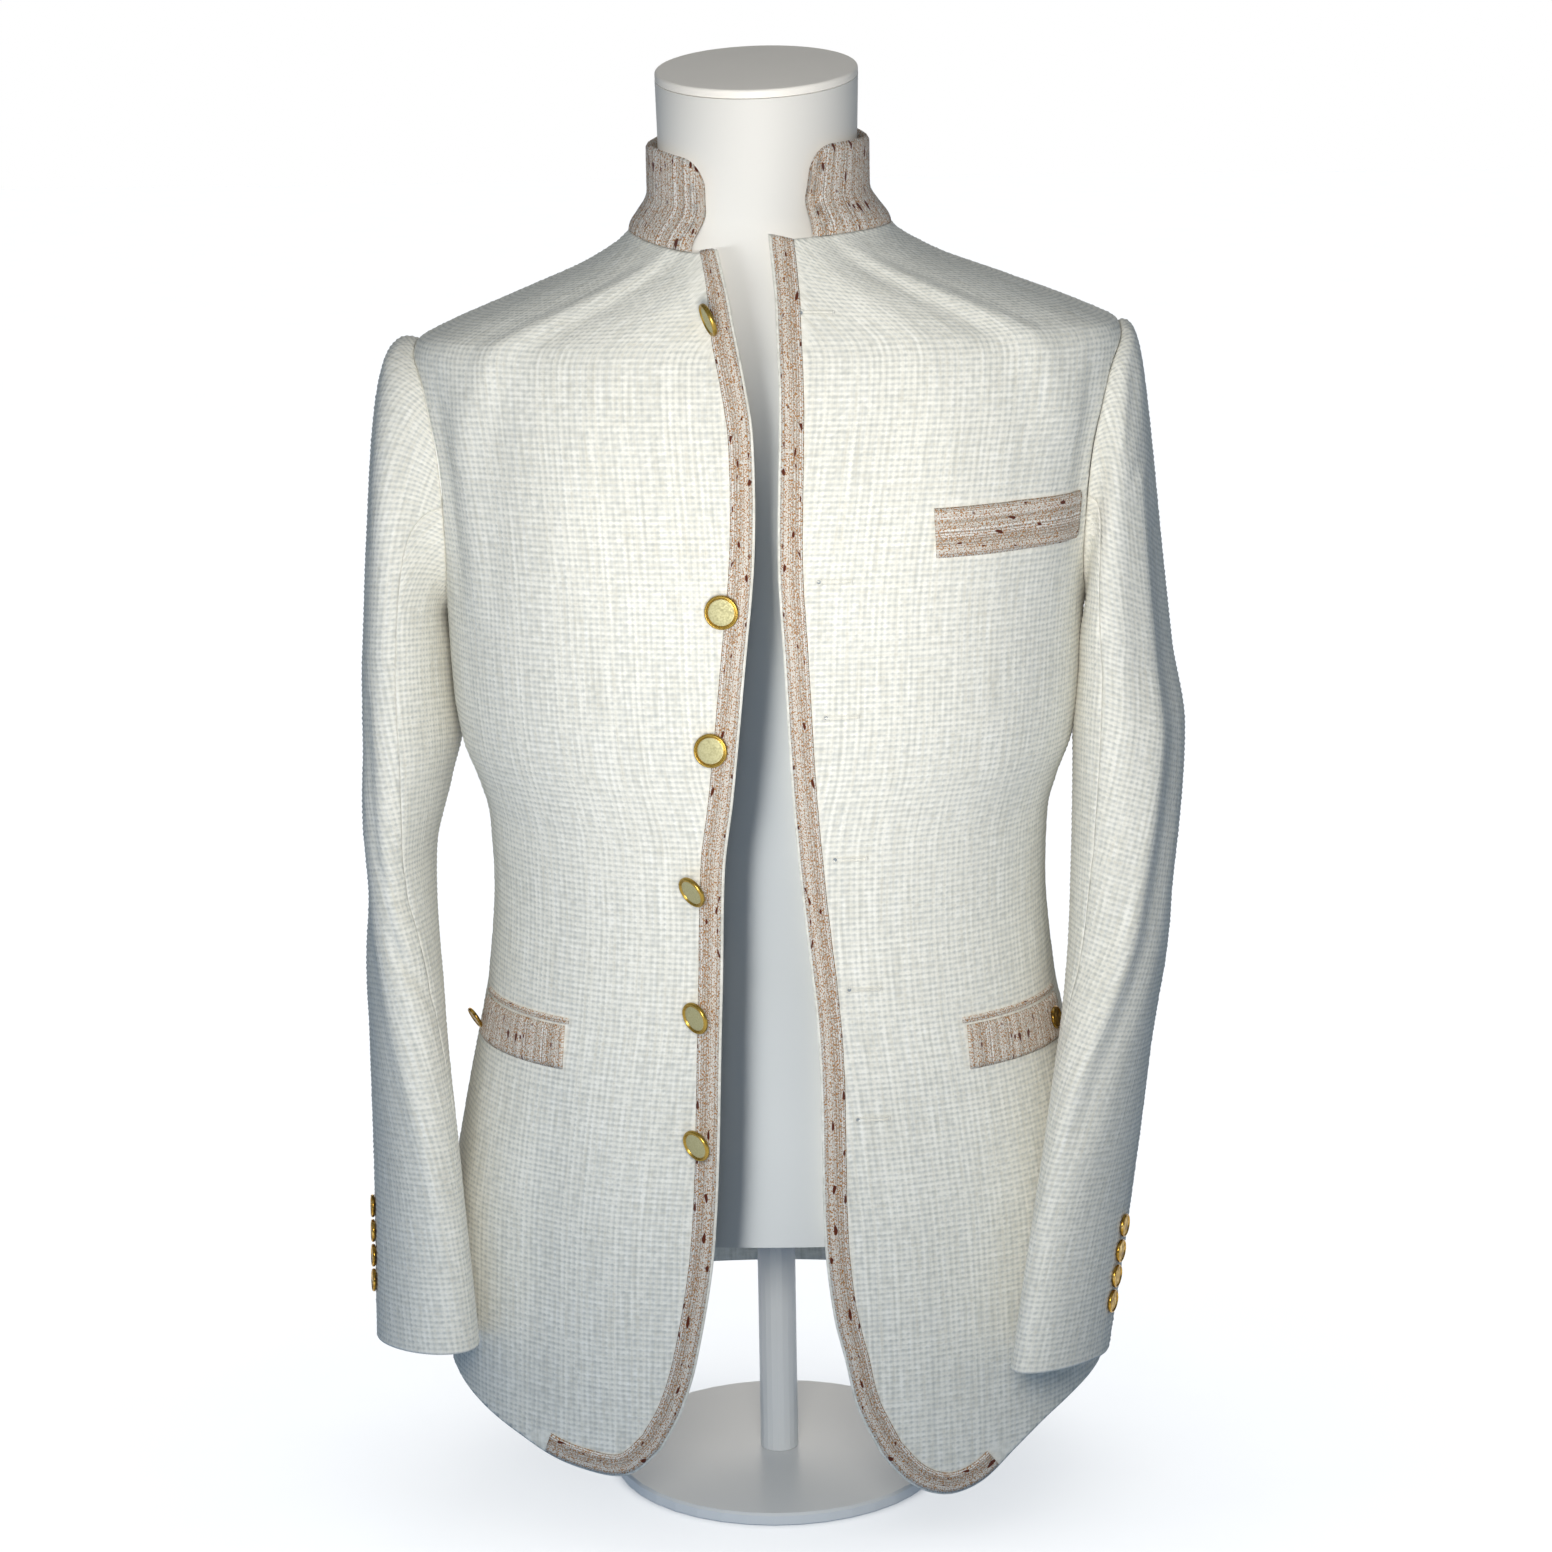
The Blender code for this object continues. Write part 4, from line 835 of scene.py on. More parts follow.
def relief(surface, uv, ca, cb, count, bump, strip_runs, free, welts):
    """How far each point of a panel's outside stands out, and its height in the weave, which sets the
    painted groove shade.

    The first count points are its outline. The weave calms down towards the seams, and
    under the strips and welts that press it flat.
    """
    edge = np.concatenate([np.zeros(count), near_to(uv[count:], uv[:count])])
    calm = ease(edge / SEAM_WIDE)
    for run in strip_runs:
        far = near_to(uv, surface.yarn(*surface.evened(*run, 3 * MM)))
        calm = calm * mix(PRESSED, 1.0, ease((far - TRIM_WIDTH) / (2 * MM)))
    for front, back, low, high in welts:
        beside = (np.abs(ca - (front + back) / 2) - abs(back - front) / 2) * BODY_DEGREE
        above = np.abs(cb - (low + high) / 2) - (high - low) / 2
        calm = calm * mix(PRESSED, 1.0, ease(np.maximum(beside, above) / (2 * MM)))
    rise = -SEAM_ROLL * (1 - ease(edge / SEAM_WIDE)) ** 2
    for run in free:
        far = near_to(uv, surface.yarn(*surface.evened(*run, OUTLINE_STEP)))
        calm = calm * ease(far / EDGE_ROLL_WIDE)
        rise = np.minimum(rise, -EDGE_ROLL * (1 - ease(far / EDGE_ROLL_WIDE)) ** 2)
    return rise + bump * calm, mix(EDGE_TONE, bump / CELL_RAISED, calm)


def thickness(surface, uv, free):
    """The cloth's thickness at each point: less where an edge turns in."""
    thick = np.full(len(uv), CLOTH)
    for run in free:
        far = near_to(uv, surface.yarn(*surface.evened(*run, OUTLINE_STEP)))
        thick = thick * mix(EDGE_THIN, 1, ease(far / (2 * EDGE_ROLL_WIDE)))
    return thick


def woven(name, surface, runs, strip_runs=(), free=(), welts=()):
    """A panel of the waffle tweed: its outside woven, its inside smooth, closed at the edge.

    free are the runs whose edges turn in; the others are sewn to a neighbour.
    """
    a, b = joined([surface.evened(*run, OUTLINE_STEP) for run in runs])
    outline = surface.yarn(a, b)
    if polygon_area(outline) < 0:
        a, b, outline = a[::-1], b[::-1], outline[::-1]
    count = len(outline)
    unevenness = [rng.uniform(-1, 1, length) for length in UNEVEN_LENGTHS]
    points, faces, yarn, height, layers = [], [], [], [], []
    for stride in (1, INNER_STEPS):
        half = np.array([CELL_WIDE, CELL_TALL]) / 2
        crossings, layer_faces = fill(outline, *(half * stride), stride)
        uv = crossings * half
        ca, cb = surface.place(*uv.T)
        ca, cb = np.concatenate([a, ca]), np.concatenate([b, cb])
        uv = np.vstack([outline, uv])
        if stride == 1:
            bump = np.concatenate([np.zeros(count), waffle(*crossings.T, unevenness)])
            rise, tone = relief(surface, uv, ca, cb, count, bump, strip_runs, free, welts)
        else:
            rise, tone = -thickness(surface, uv, free), np.full(len(uv), EDGE_TONE)
        layers.append(sum(len(layer) for layer in points))
        normal = unit(surface.at(surface.normals, ca, cb))
        points.append(surface.at(surface.points, ca, cb) + normal * rise[:, None])
        yarn.append(uv)
        height.append(tone)
        forward = (surface.outward > 0) == (stride == 1)
        for face in layer_faces:
            faces.append([layers[-1] + k for k in (face if forward else face[::-1])])
    inner = layers[1]
    for k in range(count):
        n = (k + 1) % count
        rim = (n, k, inner + k, inner + n)
        faces.append(rim if surface.outward > 0 else rim[::-1])
    thing = finished(name, np.vstack(points), faces, ["cream tweed"])
    give_yarn(thing, np.vstack(yarn), np.concatenate(height))
    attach(thing, "root")
    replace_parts(thing, name)


def polygon_area(outline):
    """Area inside a closed outline; it is below zero where the outline runs clockwise."""
    x, y = outline.T
    return np.sum(x * np.roll(y, -1) - np.roll(x, -1) * y) / 2


def body_surface(kind, side, sign):
    """The cloth that a panel of the body is cut from, with its creases."""
    *ends, low, high, middle = PANEL_CLOTH[kind]
    first, last = sorted(sign * end for end in ends)
    a = np.arange(first, last + 0.01, BODY_STEP[0])
    b = np.arange(low, high + 0.1 * MM, BODY_STEP[1])
    turns, heights = np.meshgrid(a, b)
    offsets = creased(turns, heights, BODY_CREASES, BODY_DEGREE, 1.0)
    surface = Surface(a, b, body_points(turns, heights), sign * middle, START_HEIGHT, 1, offsets)
    surfaces[f"{kind}_{side}"] = surface
    return surface


def front_edge(side, count=500):
    """Places down a front's edge, which starts at the neck's edge."""
    height, across = spline(FRONT_EDGE[side], np.linspace(0, 1, count)).T
    turn = turn_across(across, height)
    start = neck_heights(turn[0])
    share = np.clip(1 - np.arange(count) / (EDGE_SETTLES * count), 0, 1)
    return turn, height + (start - height[0]) * share


def front_hem(side, last=1.0, count=300):
    """Places along a front's hem, from the rounded corner towards the side seam."""
    height, across = spline(FRONT_HEM[side], np.linspace(0, last, count)).T
    return turn_across(across, height), height


def side_seam_turn(height):
    """The seam from the underarm to the hem."""
    top = armhole(1, [180.0])[0][0]
    return mix(top, FRONT_SEAM_TURN, np.clip((UNDERARM_HEIGHT - height) / SEAM_TURN_REACH, 0, 1))


def back_seam_turn(height):
    """The seam between side and back panel."""
    top_turn, top_height = (value[0] for value in armhole(1, [BACK_SEAM_CLOCK]))
    return mix(BACK_SEAM_HEM_TURN, top_turn, (height - SIDE_HEM) / (top_height - SIDE_HEM))


def fronts():
    """The two fronts, each from its edge and the neck to the seam under the arm."""
    for side, sign in SIGN.items():
        surface = body_surface("front", side, sign)
        edge = front_edge(side)
        hem = front_hem(side)
        seam_h = np.linspace(SIDE_HEM, UNDERARM_HEIGHT, 300)
        seam = sign * side_seam_turn(seam_h)
        seam = surface.shift(seam, seam_h, -sign * HALF_SEAM)
        corner = (np.linspace(hem[0][-1], seam[0], 20), np.linspace(hem[1][-1], seam_h[0], 20))
        arm = armhole(sign, np.linspace(180, 0.0, 300))
        arm[0][0] = seam[-1]
        arm[0][-1] = surface.shift(arm[0][-1:], arm[1][-1:], -sign * HALF_SEAM)[0]
        ridge_h = np.linspace(SHOULDER_HEIGHT, NECK_HEIGHT, 100)
        ridge = surface.shift(np.full(100, sign * 90.0), ridge_h, -sign * HALF_SEAM)
        ridge[0] = arm[0][-1]
        neck = np.linspace(ridge[-1], edge[0][0], 200)
        neck_h = neck_heights(neck)
        neck_h[-1] = edge[1][0]
        runs = [edge, hem, corner, (seam, seam_h), arm, (ridge, ridge_h), (neck, neck_h)]
        trim_hem = front_hem(side, TRIM_END_SHARE)
        front, back, low, high = POCKET[side]
        welts = [(front, back, low, high + JET_GAP + JET_HEIGHT)]
        if side == "left":
            welts.append(BREAST_POCKET)
        woven("front_" + side, surface, runs, (edge, trim_hem), free=(edge, hem), welts=welts)


def sides():
    """The two side panels, between the seam under the arm and the back."""
    for side, sign in SIGN.items():
        surface = body_surface("side", side, sign)
        low = mix(SIDE_HEM, BACK_HEM, 0.5)
        front_h = np.linspace(SIDE_HEM, UNDERARM_HEIGHT, 300)
        front = surface.shift(sign * side_seam_turn(front_h), front_h, sign * HALF_SEAM)
        arm = armhole(sign, np.linspace(180, BACK_SEAM_CLOCK, 150))
        back_h = np.linspace(arm[1][-1], low, 300)
        back = surface.shift(sign * back_seam_turn(back_h), back_h, -sign * HALF_SEAM)
        arm[0][0], arm[0][-1] = front[-1], back[0]
        hem = (np.linspace(back[-1], front[0], 100), np.linspace(low, SIDE_HEM, 100))
        woven("side_" + side, surface, [(front, front_h), arm, (back, back_h), hem], free=(hem,))


def backs():
    """The two backs, which meet in a seam down the middle."""
    for side, sign in SIGN.items():
        surface = body_surface("back", side, sign)
        low = mix(SIDE_HEM, BACK_HEM, 0.5)
        arm = armhole(sign, np.linspace(359.99, BACK_SEAM_CLOCK, 300))
        seam_h = np.linspace(arm[1][-1], low, 300)
        seam = surface.shift(sign * back_seam_turn(seam_h), seam_h, sign * HALF_SEAM)
        ridge_h = np.linspace(NECK_HEIGHT, SHOULDER_HEIGHT, 100)
        ridge = surface.shift(np.full(100, sign * 90.0), ridge_h, sign * HALF_SEAM)
        arm[0][0], arm[0][-1] = ridge[-1], seam[0]
        middle_h = np.linspace(BACK_HEM, NECK_HEIGHT + NECK_RISE_BEHIND, 300)
        middle = surface.shift(np.full(300, sign * 180.0), middle_h, -sign * HALF_SEAM)
        hem = (np.linspace(seam[-1], middle[0], 100), np.linspace(low, BACK_HEM, 100))
        neck = np.linspace(middle[-1], ridge[0], 200)
        neck_h = neck_heights(neck)
        neck_h[0], neck_h[-1] = middle_h[-1], ridge_h[0]
        runs = [(ridge, ridge_h), arm, (seam, seam_h), hem, (middle, middle_h), (neck, neck_h)]
        woven("back_" + side, surface, runs, free=(hem,))


def sleeve_tube(side, height, clock):
    """Points of the sleeve below the armhole, by height and by clock: 0 outside, 90 front."""
    sign = SIGN[side]
    columns = np.moveaxis(table(SLEEVE[side], height), -1, 0)
    across, forward, wide, deep, twist, seam_turn = columns
    angle, spin = np.radians(clock + seam_turn), np.radians(twist)
    out_by, front_by = wide * np.cos(angle), deep * np.sin(angle)
    out = out_by * np.cos(spin) + front_by * np.sin(spin)
    front = front_by * np.cos(spin) - out_by * np.sin(spin)
    high, low = SLEEVE[side][0][0], SLEEVE[side][-1][0]
    tilt = CUFF_TILT * ease((high - height) / (high - low))
    return np.stack([across + sign * out, -(forward + front), height + tilt * front], -1)


def sleeve_head(side, clocks, shares):
    """Points between the armhole and the first section of the tube."""
    sign = SIGN[side]
    turn, height = armhole(sign, clocks)
    start = body_points(turn, height)
    way_out = body_normals(turn, height)
    middle = lean(np.array([[sign * ARMHOLE_MIDDLE[0], *ARMHOLE_MIDDLE[1:]]]))
    inward = middle - start
    inward -= way_out * np.sum(inward * way_out, axis=1)[:, None]
    start = start + unit(inward) * SLEEVE_SEAM_GAP
    end = sleeve_tube(side, np.full(len(clocks), SLEEVE[side][0][0]), np.asarray(clocks))
    top = 0.5 + 0.5 * np.cos(np.radians(clocks))
    stand_out, rise, slope = SLEEVE_HEAD[side]
    ahead = -HEAD_FORWARD * np.sin(np.radians(clocks))
    push = unit(np.stack([np.full(len(clocks), float(sign)), ahead, mix(-HEAD_DOWN, rise, top)], -1))
    first = start + push * mix(UNDERARM_OUT, stand_out, ease(top * HEAD_WIDTH))[:, None]
    drop = np.stack([-sign * slope * top, 0 * top, (start[:, 2] - end[:, 2]) * HEAD_FULLNESS], -1)
    second = end + drop
    t = np.asarray(shares)[:, None, None]
    s = 1 - t
    return start * s**3 + first * 3 * s * s * t + second * 3 * s * t**2 + end * t**3


def sleeves():
    """Each sleeve in two panels, upper and lower, from the cuff to the armhole."""
    front_clock, back_clock = SLEEVE_SEAM_CLOCKS
    spans = {"top_sleeve_": (back_clock, front_clock + 360), "under_sleeve_": (front_clock, back_clock)}
    for side, sign in SIGN.items():
        for name, (first, last) in spans.items():
            a = np.arange(first - SLEEVE_SPREAD, last + SLEEVE_SPREAD + 0.01, 2.0)
            tube_b = np.linspace(0, 1, 144)
            heights = mix(SLEEVE[side][-1][0], SLEEVE[side][0][0], tube_b)
            clocks = np.broadcast_to(a, (len(heights), len(a)))
            tube = sleeve_tube(side, np.broadcast_to(heights[:, None], clocks.shape), clocks)
            head_b = np.linspace(1, 2, 49)[1:]
            head = sleeve_head(side, a, 2 - head_b)
            b = np.concatenate([tube_b, head_b])
            points = np.concatenate([tube, head])
            aa, bb = np.meshgrid(a, b)
            offsets = creased(aa, bb, SLEEVE_CREASES[side], SLEEVE_DEGREE, SLEEVE_RISE)
            offsets *= 1 - ease((bb - CREASES_END) / CREASES_FADE)
            surface = Surface(a, b, points, (first + last) / 2, 0.0, -sign, offsets)
            surfaces[name + side] = surface
            rising = np.linspace(0, 2, 400)
            near = surface.shift(np.full(400, float(first)), rising, HALF_SEAM)
            away = surface.shift(np.full(400, float(last)), rising, -HALF_SEAM)
            cuff = (np.linspace(near[0], away[0], 200), np.zeros(200))
            top = (np.linspace(away[-1], near[-1], 200), np.full(200, 2.0))
            runs = [cuff, (away, rising), top, (near[::-1], rising[::-1])]
            woven(name + side, surface, runs)


# Strips and collar


def rounded_section(wide, thick, across, edge):
    """A strip's section as (share of the width, height): its top from left to right, then back."""
    top = []
    for share in np.linspace(0, 1, across):
        near = min(share, 1 - share) * wide / edge
        fall = 1 - (1 - min(near, 1)) ** 2
        top.append((share, thick * mix(STRIP_EDGE_HIGH, 1.0, fall**0.5)))
    return top + [(0.99, 0.0), (0.5, 0.0), (0.01, 0.0)]


def strip(name, surface, path, wide, thick, lift, slot, across=9, start=0.0, inward=1, cut=None,
          narrow=(1.0, 1.0)):
    """A strip of cloth laid on a panel beside a path, with softly rounded edges.

    cut is a run of places that its first end is cut along; narrow is the share of the width
    that it has there, and the length over which it widens.
    """
    a, b = surface.evened(*path, STRIP_STEP)
    line = surface.at(surface.points, a, b)
    along = unit(np.gradient(line, axis=0))
    normals = unit(surface.at(surface.normals, a, b))
    side = unit(np.cross(normals, along)) * inward
    run = lengths(line)
    knots = np.arange(0, run[-1] + 0.02, STRIP_WANDER)
    wave = np.interp(run, knots, rng.uniform(-1, 1, len(knots))) * STRIP_WAVE
    if cut is not None:
        cut_line = surface.at(surface.points, *cut)
        run_off = unit(cut_line[-1] - cut_line[0])
        square = np.dot(np.cross(side[0], along[0]), normals[0])
        slant = square / np.dot(np.cross(run_off, along[0]), normals[0])
    points, yarn = [], []
    for share, height in rounded_section(wide, thick, across, STRIP_EDGE):
        taper = mix(narrow[0], 1.0, ease(run / narrow[1]))
        off = start + share * (wide - start) * taper + wave * (share - 0.5)
        vectors = side * off[:, None]
        if cut is not None:
            moved = run_off * slant * off[0] - vectors[0]
            vectors = vectors + moved * ease(1 - run / CUT_FADE)[:, None]
        pa, pb = surface.offset(a, b, vectors)
        normal = unit(surface.at(surface.normals, pa, pb))
        nub = rng.uniform(-1, 1, len(run)) * STRIP_NUB * (height > 0.5 * thick)
        place = surface.at(surface.points, pa, pb)
        points.append(place + normal * (lift + height + nub)[:, None])
        yarn.append(np.stack([np.full(len(run), share * wide), run], -1))
    return section_mesh(name, points, yarn, slot)


def ringed(rows, ring):
    """Faces of a closed tube of so many rings, with both ends shut."""
    faces = []
    for low in range(0, (rows - 1) * ring, ring):
        for j in range(ring):
            k = (j + 1) % ring
            faces.append((low + j, low + k, low + ring + k, low + ring + j))
    last = (rows - 1) * ring
    return faces + [tuple(range(ring - 1, -1, -1)), tuple(range(last, last + ring))]


def section_mesh(name, loops, yarn, slot):
    """A closed solid from a section's points, each given along the strip's whole run."""
    loops = np.stack(loops, 1)
    yarn = np.stack(yarn, 1)
    thing = finished(name, loops.reshape(-1, 3), ringed(*loops.shape[:2]), [slot])
    give_yarn(thing, yarn.reshape(-1, 2))
    outward(thing)
    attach(thing, "root")
    return thing


def outward(thing):
    """Turn a solid's faces to the outside."""
    shape = bmesh.new()
    shape.from_mesh(thing.data)
    bmesh.ops.recalc_face_normals(shape, faces=shape.faces)
    shape.to_mesh(thing.data)
    shape.free()


def trims():
    """The rose strips down the front edges, round the corners and along the hem."""
    for side, sign in SIGN.items():
        edge = front_edge(side)
        hem = front_hem(side, TRIM_END_SHARE)
        path = joined([edge, (np.append(hem[0], 0), np.append(hem[1], 0))])
        neck = np.linspace(edge[0][0], edge[0][0] + sign * 8.0, 9)
        surface = surfaces["front_" + side]
        name = "front_trim_" + side
        thing = strip(name, surface, path, TRIM_WIDTH, TRIM_CLOTH, TRIM_LIFT, "rose tweed",
                      start=TRIM_INSET, inward=1 if side == "left" else -1, narrow=TRIM_NARROW[side],
                      cut=(neck, neck_heights(neck) - 0.4 * MM))
        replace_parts(thing, name)


def pocket_strip(name, panel, turns, heights, thick, upright=False):
    """A level strip on a front; the yarns of an upright one run up it."""
    surface = surfaces[panel]
    turn = np.linspace(*turns, 60)
    path = (turn, np.full(60, heights[0]))
    wide = heights[1] - heights[0]
    thing = strip(name, surface, path, wide, thick, WELT_LIFT, "rose tweed",
                  across=12 if wide > 10 * MM else 6, inward=1 if turns[1] > turns[0] else -1)
    if upright:
        layer = thing.data.uv_layers["weave"].data
        yarn = np.empty(2 * len(layer))
        layer.foreach_get("uv", yarn)
        layer.foreach_set("uv", yarn.reshape(-1, 2)[:, ::-1].ravel())
    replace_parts(thing, name)


def pockets():
    """Welts and jets of the lower pockets, and the breast pocket's welt."""
    for side, (front, back, low, high) in POCKET.items():
        panel = "front_" + side
        jet = (high + JET_GAP, high + JET_GAP + JET_HEIGHT)
        pocket_strip("pocket_welt_" + side, panel, (front, back), (low, high), WELT_CLOTH,
                     upright=True)
        pocket_strip("pocket_jet_" + side, panel, (front, back), jet, TRIM_CLOTH)
    front, back, low, high = BREAST_POCKET
    pocket_strip("breast_welt", "front_left", (front, back), (low, high), WELT_CLOTH)


def collar():
    """The stand collar, with softly rounded edges."""
    first, last = COLLAR_ENDS
    corner = COLLAR_ROUND * np.array([0.03, 0.07, 0.12, 0.2, 0.3, 0.45, 0.6])
    even = np.linspace(first, last, COLLAR_COLUMNS)
    turns = np.unique(np.concatenate([even, first + corner, last - corner]))
    near = np.minimum(turns - first, last - turns) / COLLAR_ROUND
    cut = np.where(near >= 1, 0, 1 - np.sqrt(np.maximum(0, 1 - (1 - np.minimum(near, 1)) ** 2)))
    along = (turns - first) / (last - first)

    def at(share):
        up = COLLAR_HEIGHT * share * (1 - COLLAR_CORNER * cut)
        turn = mix(turns, mix(*COLLAR_TOP_ENDS, along), share)
        base = body_points(turn, neck_heights(turn))
        s, c = np.sin(np.radians(turn)), np.cos(np.radians(turn))
        top = np.stack([COLLAR_TOP[0] * s, -COLLAR_TOP[1] * c], -1)
        level = mix(base[:, :2], top, ease(up / COLLAR_FLARE)[:, None])
        return np.concatenate([level, (base[:, 2] + COLLAR_LIFT + up)[:, None]], 1)

    shares = np.linspace(0, 1, COLLAR_ROWS)
    grid = np.stack([at(share) for share in shares], 0)
    round_it = np.gradient(grid, axis=1)
    up_it = np.gradient(grid, axis=0)
    normal = unit(np.cross(round_it, up_it))
    reach = lengths(grid[len(shares) // 2 - 1])
    far_end = np.minimum(reach, reach[-1] - reach)
    far_top = (1 - shares) * COLLAR_HEIGHT
    far = np.minimum(far_end[None, :], far_top[:, None])
    round_off = COLLAR_CLOTH / 2 * (1 - np.sqrt(1 - (1 - np.clip(far / STRIP_EDGE, 0, 1)) ** 2))
    nub = rng.uniform(-1, 1, grid.shape[:2]) * COLLAR_NUB * ease(far / (2 * MM))
    nub[0] = 0
    outer = grid - normal * (round_off - nub)[..., None]
    inner = grid - normal * (COLLAR_CLOTH - round_off)[..., None]
    inner[0, :, 2] = grid[0, :, 2]
    rows, columns = len(shares), len(turns)
    points = np.concatenate([outer.reshape(-1, 3), inner.reshape(-1, 3)])
    faces = []
    size = rows * columns
    for i in range(rows - 1):
        for j in range(columns - 1):
            k = i * columns + j
            faces.append((k, k + 1, k + columns + 1, k + columns))
            faces.append((size + k, size + k + columns, size + k + columns + 1, size + k + 1))
    border = list(range(columns))
    border += [i * columns + columns - 1 for i in range(1, rows)]
    border += [(rows - 1) * columns + j for j in range(columns - 2, -1, -1)]
    border += [i * columns for i in range(rows - 2, 0, -1)]
    for p, q in zip(border, border[1:] + border[:1]):
        faces.append((q, p, size + p, size + q))
    thing = finished("collar", points, faces, ["rose tweed"])
    yarn = np.stack(np.meshgrid(reach, shares * COLLAR_HEIGHT), -1).reshape(-1, 2)
    give_yarn(thing, np.concatenate([yarn, yarn]))
    outward(thing)
    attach(thing, "root")
    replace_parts(thing, "collar")


# Buttons and buttonholes


def turned(name, profile, sides, place, turn, slots, bands=None):
    """A profile of (radius, height) turned round an axis, closed at both ends."""
    points, faces, which = [], [], []
    rings = []
    for radius, height in profile:
        if radius == 0:
            rings.append([len(points)])
            points.append((0, 0, height))
            continue
        rings.append(list(range(len(points), len(points) + sides)))
        for k in range(sides):
            angle = 2 * np.pi * k / sides
            points.append((radius * cos(angle), radius * sin(angle), height))
    for n, (high, low) in enumerate(zip(rings, rings[1:])):
        for k in range(sides):
            m = (k + 1) % sides
            corner = [high[k % len(high)], high[m % len(high)], low[m % len(low)], low[k % len(low)]]
            faces.append(list(dict.fromkeys(corner)))
            which.append(bands[n] if bands else 0)
    thing = finished(name, points, faces, slots)
    thing.data.polygons.foreach_set("material_index", which)
    outward(thing)
    thing.data.transform(Matrix.Translation(place) @ turn.to_4x4())
    thing.data.set_sharp_from_angle(angle=SHARP)
    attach(thing, "root")
    return thing




def button(name, radius, place, normal, sides, slots, facing=None):
    """A shallow metal button; facing is the way that it hangs, in degrees to the right and up."""
    high = radius * BUTTON_HEIGHT
    normal = Vector(normal).normalized()
    face = normal
    if facing:
        side, up = (radians(angle) for angle in facing)
        face = Vector((-sin(side) * cos(up), -cos(side) * cos(up), sin(up)))
    tilt = face.angle(normal)
    across = Vector((0, 0, 1)).cross(face).normalized()
    turn = Matrix((across, face.cross(across), face)).transposed()
    foot = Vector(place)
    # the edge that hangs down stays clear of the cloth
    place = foot + normal * radius * sin(tilt) * BUTTON_TIPPED
    profile = [(radius * out, high * up_by) for out, up_by in BUTTON_FACE]
    return turned(name, profile, sides, place, turn, slots, BUTTON_BANDS), place


def on_surface(surface, turn, height):
    """A point of the cloth and the way out of it there."""
    turn, height = np.array([float(turn)]), np.array([float(height)])
    normal = surface.at(surface.normals, turn, height)[0]
    return surface.at(surface.points, turn, height)[0], unit(normal)


def shank(name, foot, top, radius):
    """The sewing thread that a button hangs by, wound into a short post."""
    axis = top - foot
    profile = []
    # narrower in its middle, and every second turn of the thread stands out
    for k in range(SHANK_STEPS + 1):
        share = k / SHANK_STEPS
        waist = 1 - 0.25 * sin(np.pi * share) + 0.10 * (k % 2)
        profile.append((radius * waist, axis.length * (1 - share)))
    profile = [(0.0, axis.length)] + profile + [(0.0, 0.0)]
    thing = turned(name, profile, 16, foot, axis.to_track_quat("Z", "Y").to_matrix(), ["cream thread"])


def buttons():
    """Front buttons on thread shanks, pocket buttons and sleeve buttons."""
    for i, (height, across, *facing) in enumerate(FRONT_BUTTONS, 1):
        turn = turn_across(across, height)
        place, normal = on_surface(surfaces["front_right"], turn, height)
        name = f"front_button_{i}"
        thing, top = button(name, FRONT_BUTTON_RADIUS, place + normal * FRONT_BUTTON_LIFT, normal,
                            BUTTON_SIDES["front"], ["pressed gold", "satin gold"], facing)
        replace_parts(thing, name)
        cloth = Vector(place + normal * 0.2 * MM)
        top = top - (top - cloth).normalized() * 0.1 * MM
        shank(f"front_button_thread_{i}", cloth, top, SHANK_RADIUS)
    look = (BUTTON_SIDES["small"], ["antique gold", "antique gold face"])
    for side, turn in POCKET_BUTTON_TURN.items():
        low, high = POCKET[side][2:]
        place, normal = on_surface(surfaces["front_" + side], turn, (low + high) / 2)
        place = place + normal * (WELT_LIFT + WELT_CLOTH + POCKET_BUTTON_GAP)
        name = "pocket_button_" + side
        hung = POCKET_BUTTON_FACING.get(side)
        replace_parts(button(name, SMALL_BUTTON_RADIUS, place, normal, *look, hung)[0], name)
    for side, heights in SLEEVE_BUTTON_HEIGHTS.items():
        surface = surfaces["top_sleeve_" + side]
        low, high = SLEEVE[side][-1][0], SLEEVE[side][0][0]
        for i, height in enumerate(heights, 1):
            clock = SLEEVE_BUTTON_CLOCK - table(SLEEVE[side], height)[5]
            place, normal = on_surface(surface, clock, (height - low) / (high - low))
            name = f"sleeve_button_{side}_{i}"
            place = place + normal * SLEEVE_BUTTON_LIFT
            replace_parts(button(name, SMALL_BUTTON_RADIUS, place, normal, *look)[0], name)


def thread_run(points, radius, sides=6):
    """A sewing thread along a run of points, closed at both ends."""
    points = np.array(points)
    along = unit(np.gradient(points, axis=0))
    aside = unit(np.cross(along, (0.35, 0.9, 0.25)))
    third = np.cross(along, aside)
    angles = 2 * np.pi * np.arange(sides) / sides
    rings = [points + (aside * cos(angle) + third * sin(angle)) * radius for angle in angles]
    return np.stack(rings, 1).reshape(-1, 3), ringed(len(points), sides)


def level_ring(middle, right, up, radius, degrees_round):
    """Points round a middle, in the plane of two directions."""
    return [middle + (right * cos(radians(angle)) + up * sin(radians(angle))) * radius
            for angle in degrees_round]


